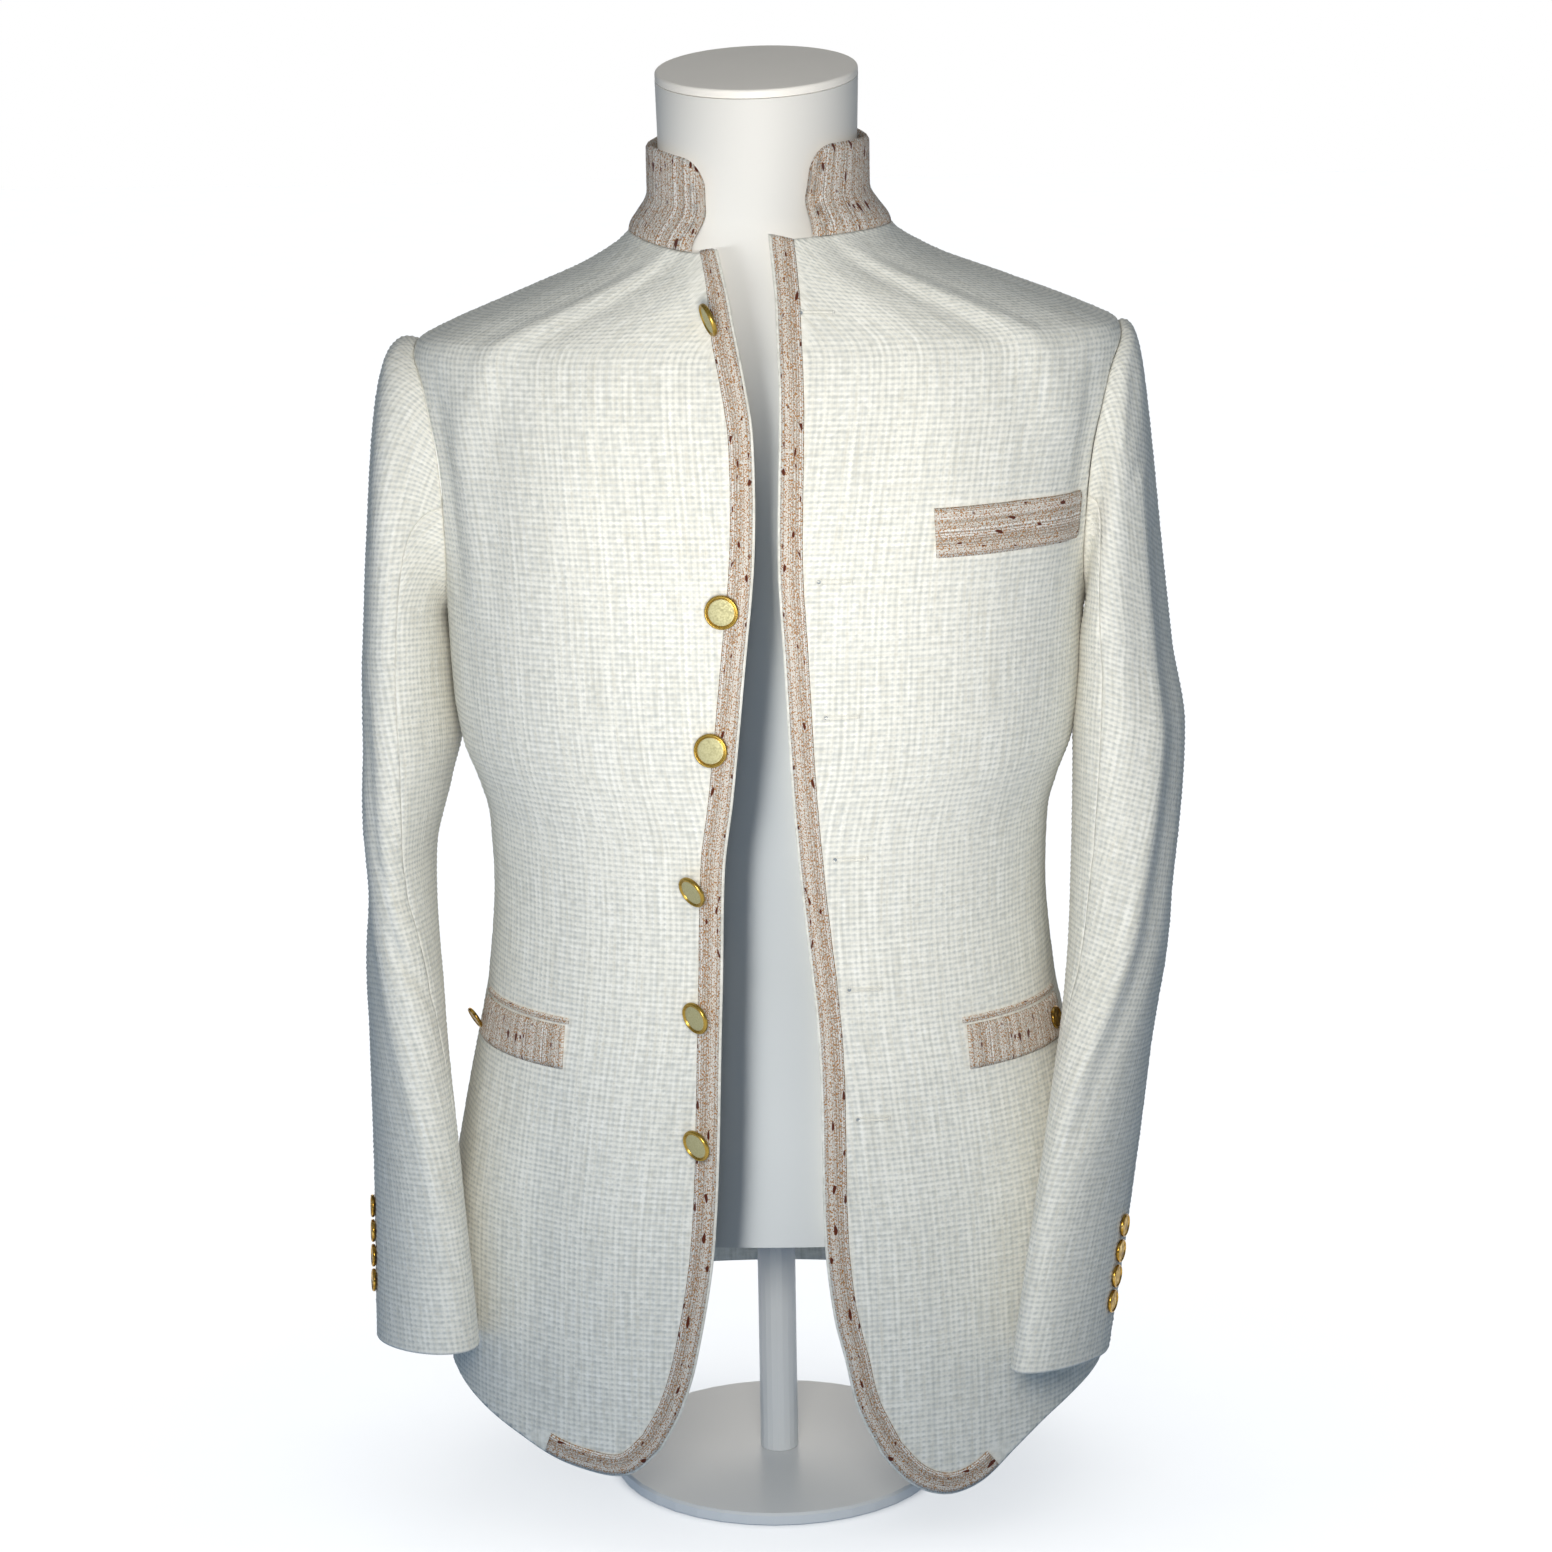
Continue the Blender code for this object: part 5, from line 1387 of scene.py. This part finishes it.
def stitches(right, up):
    """Where a buttonhole's stitches start, from the middle of its eye, and which way they run."""
    round_eye = level_ring(0, right, up, 1, np.linspace(30, 330, 17))
    spots = [(way * BUTTONHOLE_EYE, way) for way in round_eye]
    for off in np.arange(BUTTONHOLE_EYE + 0.5 * MM, BUTTONHOLE_LONG, STITCH_APART):
        for lip in (1, -1):
            spots.append((right * off + up * lip * BUTTONHOLE_LIP, up * lip))
    for off in np.linspace(-0.9, 0.9, 5) * MM:
        spots.append((right * BUTTONHOLE_LONG + up * off, right))
    return spots


def sewn_in(name, points, faces, slot, smooth=True):
    thing = finished(name, points, faces, [slot], smooth)
    outward(thing)
    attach(thing, "root")


def buttonholes():
    """Keyhole buttonholes worked in thread on the left front: a round eye and a slit."""
    surface = surfaces["front_left"]
    for i, (height, across) in enumerate(BUTTONHOLES, 1):
        middle, normal = on_surface(surface, turn_across(across, height), height)
        up = unit(np.cross((1.0, 0.0, 0.0), normal))
        right = np.cross(normal, up)
        right = right if right[0] > 0 else -right
        points, faces = [], []
        for spot, way in stitches(right, up):
            shares = np.linspace(0, 1, 5)
            rises = [BUTTONHOLE_RISE + 0.25 * MM * sin(np.pi * share) for share in shares]
            run = [middle + spot + way * share * STITCH_LONG + normal * rise
                   for share, rise in zip(shares, rises)]
            more, more_faces = thread_run(run, BUTTONHOLE_THREAD / 2)
            base = len(points) * len(more)
            points.append(more)
            faces += [tuple(base + k for k in face) for face in more_faces]
        sewn_in(f"buttonhole_{i}", np.concatenate(points), faces, "cream thread")
        # painted shade: a dark disc in each eye stands in for the shadow inside the cut, seen between
        # the stitches
        over = middle + normal * BUTTONHOLE_RISE
        dark = level_ring(over, right, up, BUTTONHOLE_EYE * 0.98, np.linspace(0, 345, 24))
        count = len(dark)
        under = [point - normal * 0.3 * MM for point in dark]
        shape = [tuple(range(count)), tuple(range(2 * count - 1, count - 1, -1))]
        shape += [(k, count + k, count + (k + 1) % count, (k + 1) % count) for k in range(count)]
        sewn_in(f"buttonhole_shade_disc_{i}", np.array(dark + under), shape, "buttonhole shade", smooth=False)


# The form inside


def form():
    """The limbless torso and neck, smooth, inside the jacket and clear of it."""
    turns = np.arange(0, 360, 360 / FORM_SIDES)
    heights = np.concatenate([np.linspace(*rows) for rows in FORM_RINGS])
    rings = []
    for height in heights:
        inset = CLOTH + table(FORM_CLEAR, height)[0]
        rings.append(body_points(turns, height) - body_normals(turns, height) * inset)
    rings[0][:, 2] = FORM_BOTTOM
    s, c = np.sin(np.radians(turns)), np.cos(np.radians(turns))
    neck_low, neck_high = NECK[0][0], NECK[-1][0]
    for share in np.linspace(0, 1, NECK_RINGS):
        height = mix(neck_low, neck_high, share)
        wide, deep = table(NECK, height)
        tilt = NECK_TILT * np.interp(height, [row[0] for row in NECK], np.linspace(0, 1, len(NECK)))
        x, y = wide * s, -deep * c
        rings.append(lean(np.stack([x, y, height + tilt * y], -1)))
    points = np.concatenate(rings)
    thing = finished("form_cover", points, ringed(len(rings), FORM_SIDES), ["white form cover"])
    thing.data.set_sharp_from_angle(angle=SHARP)
    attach(thing, "root")
    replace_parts(thing, "form_torso")


def neck_cap():
    """The round plate on top of the form's neck."""
    height, wide, deep = NECK[-1]
    middle = lean(np.array([0, 0, height]))
    axis = Vector((-LEAN_RISE, -NECK_TILT, 1)).normalized()
    profile = [(0.0, CAP_THICKNESS), (wide - CAP_FLAT, CAP_THICKNESS)]
    for angle in np.linspace(0, 90, 7):
        radius = wide - CAP_EDGE + CAP_EDGE * sin(radians(angle))
        profile.append((radius, CAP_THICKNESS - CAP_EDGE + CAP_EDGE * cos(radians(angle))))
    profile += [(wide, 0.0), (0.0, 0.0)]
    place = Vector(middle) + axis * SEAM_GAP
    turn = axis.to_track_quat("Z", "Y").to_matrix() @ Matrix.Diagonal((1, deep / wide, 1))
    thing = turned("neck_cap", profile, CAP_SIDES, place, turn, ["grey cap"])
    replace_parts(thing, "neck_cap")


# Materials


def linear(code):
    """An sRGB hex colour as linear RGBA."""
    parts = [int(code[k : k + 2], 16) / 255 for k in (1, 3, 5)]
    return (*(p / 12.92 if p <= 0.04045 else ((p + 0.055) / 1.055) ** 2.4 for p in parts), 1.0)


def add(tree, kind, settings=None, links=None, **options):
    """A node with its options, its sockets' settings, and links from sockets or other nodes.

    A node that is named as a link's source gives its first output.
    """
    node = tree.nodes.new("ShaderNode" + kind)
    for option, value in options.items():
        setattr(node, option, value)
    for socket, value in (settings or {}).items():
        node.inputs[socket].default_value = value
    for socket, source in (links or {}).items():
        start = source.outputs[0] if isinstance(source, bpy.types.Node) else source
        tree.links.new(start, node.inputs[socket])
    return node


def new_material(name, colour="#808080", **shader_settings):
    made = bpy.data.materials.new(name)
    made.use_nodes = True
    shader = made.node_tree.nodes["Principled BSDF"]
    shader.inputs["Base Color"].default_value = linear(colour)
    for socket, value in shader_settings.items():
        shader.inputs[socket.replace("_", " ")].default_value = value
    made.diffuse_color = linear(colour)
    materials[name] = made
    return made.node_tree, shader


def ramp_colours(node, stops):
    """Set a colour ramp's stops: (place, hex colour)."""
    ramp = node.color_ramp
    while len(ramp.elements) > 1:
        ramp.elements.remove(ramp.elements[-1])
    for k, (place, colour) in enumerate(stops):
        stop = ramp.elements[0] if k == 0 else ramp.elements.new(place)
        stop.position = place
        stop.color = linear(colour)


def streaks(tree, uv, across, along, detail):
    """Noise with so many patches to a metre across the cloth and along it."""
    place = add(tree, "Mapping", {"Scale": (across, along, 1)}, {"Vector": uv})
    return add(tree, "TexNoise", {"Scale": 1.0, "Detail": detail}, {"Vector": place})


def cream_tweed():
    """Wool and cotton tweed in a small waffle weave, soft and matt, with a faint nap.

    The eye sees pale bead-like floats in level ribs, painted cool grey shade in the sunk lines
    between them, single brighter warp yarns, and a slow unevenness of the yarn's dye.
    """
    tree, shader = new_material("cream tweed", "#EEEBE0", Roughness=0.95, Sheen_Weight=0.15,
                                Sheen_Roughness=0.6)
    shader.inputs["Specular IOR Level"].default_value = 0.15
    shader.inputs["Sheen Tint"].default_value = linear("#FFFDF4")
    uv = add(tree, "UVMap", uv_map="weave")
    height = add(tree, "Attribute", attribute_name="weave_height")
    # warp yarns: one streak each 2.3 mm, 45 mm long; weft yarns: one each 1.8 mm
    warp = streaks(tree, uv, 435, 22, 2)
    weft = streaks(tree, uv, 30, 555, 2)
    dye = add(tree, "TexNoise", {"Scale": 240.0, "Detail": 3.0}, {"Vector": uv})
    # the warp shows more than the weft and the dye
    warp_share = 1.8
    yarns = add(tree, "Math", {1: warp_share}, {0: warp, 2: weft}, operation="MULTIPLY_ADD")
    total = add(tree, "Math", {}, {0: yarns, 1: dye}, operation="ADD")
    mean = add(tree, "Math", {1: 1 / (warp_share + 2)}, {0: total}, operation="MULTIPLY")
    yarn_tone = add(tree, "ValToRGB", {}, {0: mean})
    ramp_colours(yarn_tone, ((0.36, "#DFDCD1"), (0.47, "#EEECE3"), (0.56, "#F8F6EE"), (0.68, "#FFFEF9")))
    blur = add(tree, "Math", {1: 0.7}, {0: dye}, operation="MULTIPLY")
    uneven = add(tree, "Math", {}, {0: height.outputs["Fac"], 1: blur}, operation="ADD")
    sunk = add(tree, "MapRange", {1: -0.05, 2: 0.85, 3: 0.0, 4: 1.0}, {0: uneven})
    # painted shade: a cool grey in the sunk lines between the floats, deepest in the sunk corners
    painted_groove_shade = add(tree, "Mix", {"A": linear("#BEC1BF"), "Factor": 1.0},
                 {"Factor": sunk, "B": yarn_tone}, data_type="RGBA")
    tree.links.new(painted_groove_shade.outputs["Result"], shader.inputs["Base Color"])
    # threads 0.6 mm apart along the warp and their hairs
    thread = streaks(tree, uv, 1700, 520, 3)
    bump = add(tree, "Bump", {"Strength": 0.5, "Distance": 0.3 * MM}, {"Height": thread})
    tree.links.new(bump.outputs[0], shader.inputs["Normal"])


def rose_tweed():
    """Fancy tweed cut in strips: thin yarns lie along the strip, some white, some speckled.

    The eye sees a greyish rose beige from afar, and near by short orange-brown dashes,
    white lines and a rare dark red slub.
    """
    tree, shader = new_material("rose tweed", "#CDBFB5", Roughness=0.93, Sheen_Weight=0.15,
                                Sheen_Roughness=0.5)
    shader.inputs["Specular IOR Level"].default_value = 0.15
    uv = add(tree, "UVMap", uv_map="weave")
    split = add(tree, "SeparateXYZ", {}, {0: uv})
    wander = add(tree, "TexNoise", {"Scale": 90.0, "Detail": 1.0}, {"Vector": uv})
    waver = add(tree, "MapRange", {3: -0.3 * MM, 4: 0.3 * MM}, {0: wander})
    across = add(tree, "Math", {}, {0: split, 1: waver}, operation="ADD")
    # a yarn each 0.6 mm across the strip
    count = add(tree, "Math", {1: 1 / (0.6 * MM)}, {0: across}, operation="MULTIPLY")
    yarn = add(tree, "Math", {}, {0: count}, operation="FLOOR")
    chance = add(tree, "TexWhiteNoise", {}, {"W": yarn}, noise_dimensions="1D")
    tone = add(tree, "ValToRGB", {}, {0: chance})
    tone.color_ramp.interpolation = "CONSTANT"
    ramp_colours(tone, (
        (0.0, "#D9D1C8"), (0.20, "#F9F6F2"), (0.34, "#BAAFA2"), (0.54, "#E4DED5"),
        (0.72, "#A89C8F"), (0.86, "#DBD3C9"),
    ))
    # each yarn's own run of dashes, 0.6 to 1.4 mm long
    along = add(tree, "Math", {1: 900.0}, {0: split.outputs[1]}, operation="MULTIPLY")
    apart = add(tree, "Math", {1: 7.31}, {0: yarn}, operation="MULTIPLY")
    place = add(tree, "CombineXYZ", {}, {0: apart, 1: along})
    dash = add(tree, "TexNoise", {"Scale": 1.0, "Detail": 1.0}, {"Vector": place})
    fleck = add(tree, "MapRange", {1: 0.55, 2: 0.585, 4: 0.95}, {0: dash})
    pale = add(tree, "MapRange", {1: 0.43, 2: 0.36, 4: 0.8}, {0: dash})
    with_pale = add(tree, "Mix", {"B": linear("#F0EBE5")},
                    {"Factor": pale, "A": tone}, data_type="RGBA")
    with_fleck = add(tree, "Mix", {"B": linear("#B1762C")},
                     {"Factor": fleck, "A": with_pale.outputs["Result"]}, data_type="RGBA")
    # slubs 2 mm by 5 mm, one in some 400 mm2 of the cloth
    slub = streaks(tree, uv, 260, 105, 0)
    dark = add(tree, "MapRange", {1: 0.735, 2: 0.757}, {0: slub})
    with_dark = add(tree, "Mix", {"B": linear("#602A18")},
                    {"Factor": dark, "A": with_fleck.outputs["Result"]}, data_type="RGBA")
    tree.links.new(with_dark.outputs["Result"], shader.inputs["Base Color"])
    # round yarns, and the weft that binds them each 0.9 mm
    turn = add(tree, "Math", {1: np.pi}, {0: count}, operation="MULTIPLY")
    wave = add(tree, "Math", {}, {0: turn}, operation="SINE")
    rounded = add(tree, "Math", {}, {0: wave}, operation="ABSOLUTE")
    pick = streaks(tree, uv, 500, 1100, 2)
    raised = add(tree, "Math", {}, {0: rounded, 1: pick}, operation="ADD")
    bump = add(tree, "Bump", {"Strength": 0.6, "Distance": 0.35 * MM}, {"Height": raised})
    tree.links.new(bump.outputs[0], shader.inputs["Normal"])


def gold(name, colour, roughness, worn=False):
    """Gold-plated brass, pressed: rounds are polished, faces are satin.

    The eye sees a pale warm metal with a slightly clouded gloss, and brown patches where
    it is worn.
    """
    tree, shader = new_material(name, colour, Metallic=1.0, Roughness=roughness)
    place = add(tree, "TexCoord")
    noise = add(tree, "TexNoise", {"Scale": 900.0, "Detail": 3.0}, {"Vector": place.outputs["Object"]})
    rough = add(tree, "MapRange", {1: 0.3, 2: 0.7, 3: roughness * 0.75, 4: roughness * 1.3},
                {0: noise})
    tree.links.new(rough.outputs[0], shader.inputs["Roughness"])
    if worn:
        patch = add(tree, "TexNoise", {"Scale": 260.0, "Detail": 4.0},
                    {"Vector": place.outputs["Object"]})
        tone = add(tree, "ValToRGB", {}, {0: patch})
        ramp_colours(tone, ((0.35, "#6E5428"), (0.55, colour), (0.75, "#E8CE90")))
        tree.links.new(tone.outputs[0], shader.inputs["Base Color"])


def plain(name, colour, other, roughness, scale, bump_by):
    """A quiet surface with a slight unevenness of tone and a fine grain."""
    tree, shader = new_material(name, colour, Roughness=roughness)
    place = add(tree, "TexCoord")
    noise = add(tree, "TexNoise", {"Scale": 9.0, "Detail": 3.0}, {"Vector": place.outputs["Object"]})
    tone = add(tree, "Mix", {"A": linear(colour), "B": linear(other)},
               {"Factor": noise}, data_type="RGBA")
    tree.links.new(tone.outputs["Result"], shader.inputs["Base Color"])
    grain = add(tree, "TexNoise", {"Scale": scale, "Detail": 2.0}, {"Vector": place.outputs["Object"]})
    bump = add(tree, "Bump", {"Strength": 0.3, "Distance": bump_by}, {"Height": grain})
    tree.links.new(bump.outputs[0], shader.inputs["Normal"])


def make_materials():
    cream_tweed()
    rose_tweed()
    # a front button's stamped rim is polished, its bare face satin and paler
    gold("pressed gold", "#A88B42", 0.3)
    gold("satin gold", "#B0AC88", 0.62)
    # cotton sewing thread: off-white, matt, with a grain as fine as its fibres
    plain("cream thread", "#F1EFE8", "#E6E5DF", 0.8, 2500.0, 0.1 * MM)
    # painted shade for the inside of a buttonhole's eye: no gloss, darker than the cloth around it
    plain("buttonhole shade", "#9BA2A8", "#8A9198", 0.95, 900.0, 0.05 * MM)
    # small buttons of aged gilt brass: glossy rims and duller faces, with brown patches
    gold("antique gold", "#B98F38", 0.22, worn=True)
    gold("antique gold face", "#B1903F", 0.4, worn=True)
    # cotton jersey pulled tight over a form: an even warm white with a soft sheen
    plain("white form cover", "#EBE8E2", "#E4E2DC", 0.6, 700.0, 0.1 * MM)
    # moulded polystyrene: light grey and even, with a low gloss
    plain("grey cap", "#CCC9C4", "#C1BEB9", 0.55, 500.0, 0.1 * MM)
    # powder coating on steel: cool white, slightly glossy, with a faint orange peel
    plain("white paint", "#F1F2F3", "#E9EBEC", 0.35, 900.0, 0.05 * MM)
    # a paper floor: near white and matt
    plain("pale floor", "#F4F4F4", "#F0F0F1", 0.8, 60.0, 0.1 * MM)


# Camera and light


def camera():
    """The camera, from its pitch, yaw and roll."""
    cp, sp = cos(radians(PITCH)), sin(radians(PITCH))
    cy, sy = cos(radians(YAW)), sin(radians(YAW))
    cr, sr = cos(radians(ROLL)), sin(radians(ROLL))
    back = Vector((sy * cp, -cy * cp, sp))
    right = Vector((cy, sy, 0))
    up = back.cross(right)
    r, u = right * cr + up * sr, up * cr - right * sr
    data = bpy.data.cameras.new("camera")
    data.sensor_width = SENSOR
    data.lens = SENSOR * FOCAL_PIXELS / PHOTO_PIXELS
    data.clip_start = 0.05
    thing = bpy.data.objects.new("camera", data)
    bpy.context.scene.collection.objects.link(thing)
    place = Vector(AIM) + back * DISTANCE
    thing.matrix_world = Matrix((
        (r.x, u.x, back.x, place.x), (r.y, u.y, back.y, place.y), (r.z, u.z, back.z, place.z),
        (0, 0, 0, 1)))
    bpy.context.scene.camera = thing


def paper_floor():
    wide = 12.0
    corners = [(-wide, -wide, 0), (wide, -wide, 0), (wide, wide, 0), (-wide, wide, 0)]
    mesh = bpy.data.meshes.new("floor")
    mesh.from_pydata(corners, [], [(0, 1, 2, 3)])
    mesh.materials.append(materials["pale floor"])
    floor = bpy.data.objects.new("floor", mesh)
    bpy.context.scene.collection.objects.link(floor)
    floor.visible_diffuse = False       # it throws no white light up at the hem
    return floor


def light_all_round():
    """White for the camera; for the cloth cool and dim below, nearly neutral above."""
    world = bpy.data.worlds.new("studio")
    world.use_nodes = True
    tree = world.node_tree
    fill = tree.nodes["Background"]
    fill.inputs["Strength"].default_value = FILL
    way = add(tree, "TexCoord")
    split = add(tree, "SeparateXYZ", {}, {0: way.outputs["Generated"]})
    level = add(tree, "MapRange", {1: -0.6, 2: 0.6}, {0: split.outputs[2]})
    sky = add(tree, "ValToRGB", {}, {0: level})
    ramp_colours(sky, ((0.0, "#5188C4"), (0.42, "#8FBBE4"), (0.62, "#CFDFEA"), (1.0, "#F1F4F6")))
    tree.links.new(sky.outputs[0], fill.inputs["Color"])
    seen = add(tree, "Background", {"Color": linear("#FFFFFF"), "Strength": 1.0})
    ray = add(tree, "LightPath")
    both = add(tree, "MixShader", {}, {0: ray.outputs["Is Camera Ray"], 1: fill, 2: seen})
    tree.links.new(both.outputs[0], tree.nodes["World Output"].inputs["Surface"])
    bpy.context.scene.world = world


def group(name, things, left_out=False):
    """A collection that lamps are linked to; left_out keeps their light off its members."""
    made = bpy.data.collections.new(name)
    for thing in things:
        made.objects.link(thing)
    if left_out:
        for member in made.collection_objects:
            member.light_linking.link_state = "EXCLUDE"
    return made


def lamp(kind, name, strength, colour, place, target, **options):
    """A lamp that shines from a place towards a target; gives what its light is linked to."""
    light = bpy.data.lights.new(name, kind)
    light.energy, light.color = strength, linear(colour)[:3]
    for option, value in options.items():
        setattr(light, option, value)
    thing = bpy.data.objects.new(name, light)
    bpy.context.scene.collection.objects.link(thing)
    thing.location = place
    thing.rotation_euler = (Vector(target) - Vector(place)).to_track_quat("-Z", "Y").to_euler()
    return thing.light_linking


def studio():
    """A pale floor, light all round and seven lamps, each kept to what it should light."""
    floor = paper_floor()
    light_all_round()
    form = pieces["form_cover"]
    cloth_alone = group("not_lit_by_soft_box", (form, floor), left_out=True)
    # a large soft box before the chest, whose light falls off towards the hem
    chest = lamp("AREA", "soft_box", CHEST, "#FFFAF0", (0.02, -1.0, 0.68), (0, 0, 0.60),
                 shape="DISK", size=0.36, spread=radians(105))
    chest.receiver_collection = cloth_alone
    # the floor has a light of its own, so that it is pale while the cloth keeps its shade;
    # the stand alone holds it back, so the shade below the cloth is faint
    over = lamp("SUN", "floor_light", FLOOR_LIGHT, "#F8FAFC", (0, 0, 3), (0, 0, 0),
                angle=radians(100))
    over.receiver_collection = group("lit_by_floor_light", (floor,))
    over.blocker_collection = group("in_way_of_floor_light", (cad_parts["stand_base"],))
    # an even light from before it all, for the cloth alone: the form keeps its shade
    even = lamp("SUN", "front_fill", FRONT_FILL, "#DDE9F2", (-0.05, -1.0, 0.15), (0, 0, 0),
                angle=radians(160))
    even.receiver_collection = cloth_alone
    # a bluish lamp low on the wearer's right cools the hem and the cuffs
    low = lamp("AREA", "hem_light", HEM_LIGHT, "#8DBEF2", (-0.45, -0.75, 0.12), (-0.05, 0, 0.14),
               shape="DISK", size=0.4)
    low.receiver_collection = cloth_alone
    # the form has a raking light from the wearer's right in place of the soft box, and the
    # edge of the front that it passes throws a dark band down the form
    rake = lamp("AREA", "raking_light", RAKING_LIGHT, "#F1F7FC", (-0.92, -0.51, 0.43), (0, -0.12, 0.43),
                shape="RECTANGLE", size=0.42, size_y=0.66, spread=radians(22))
    rake.receiver_collection = group("lit_by_raking_light", (form,))
    edges = (pieces["front_right"], pieces["front_trim_right"])
    rake.blocker_collection = group("in_way_of_raking_light", edges)
    # a small lamp on the neck, as bright as the photo has it
    near = lamp("SPOT", "neck_light", NECK_LIGHT, "#FFFCF7", (0.02, -0.62, 0.975), (0, -0.05, 0.885),
                spot_size=radians(36), spot_blend=0.8, shadow_soft_size=0.1)
    near.receiver_collection = group("lit_by_neck_light", (form, pieces["neck_cap"]))
    # a weak light from straight behind shows the back's weave
    behind = lamp("SUN", "back_light", BACK_LIGHT, "#FFF6EA", (0, 1.0, 0.12), (0, 0, 0),
                  angle=radians(50))
    behind.receiver_collection = group("not_lit_by_back_light", (floor,), left_out=True)
    bpy.context.scene.view_settings.view_transform = "Standard"


def carried_over():
    """The stand keeps its CAD shape and gets its paint."""
    for name in ("stand_pole", "stand_base"):
        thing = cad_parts[name]
        for slot in thing.material_slots:
            slot.link = "OBJECT"
            slot.material = materials["white paint"]


make_materials()
camera()
fronts()
sides()
backs()
sleeves()
trims()
pockets()
collar()
buttons()
buttonholes()
form()
neck_cap()
studio()
carried_over()
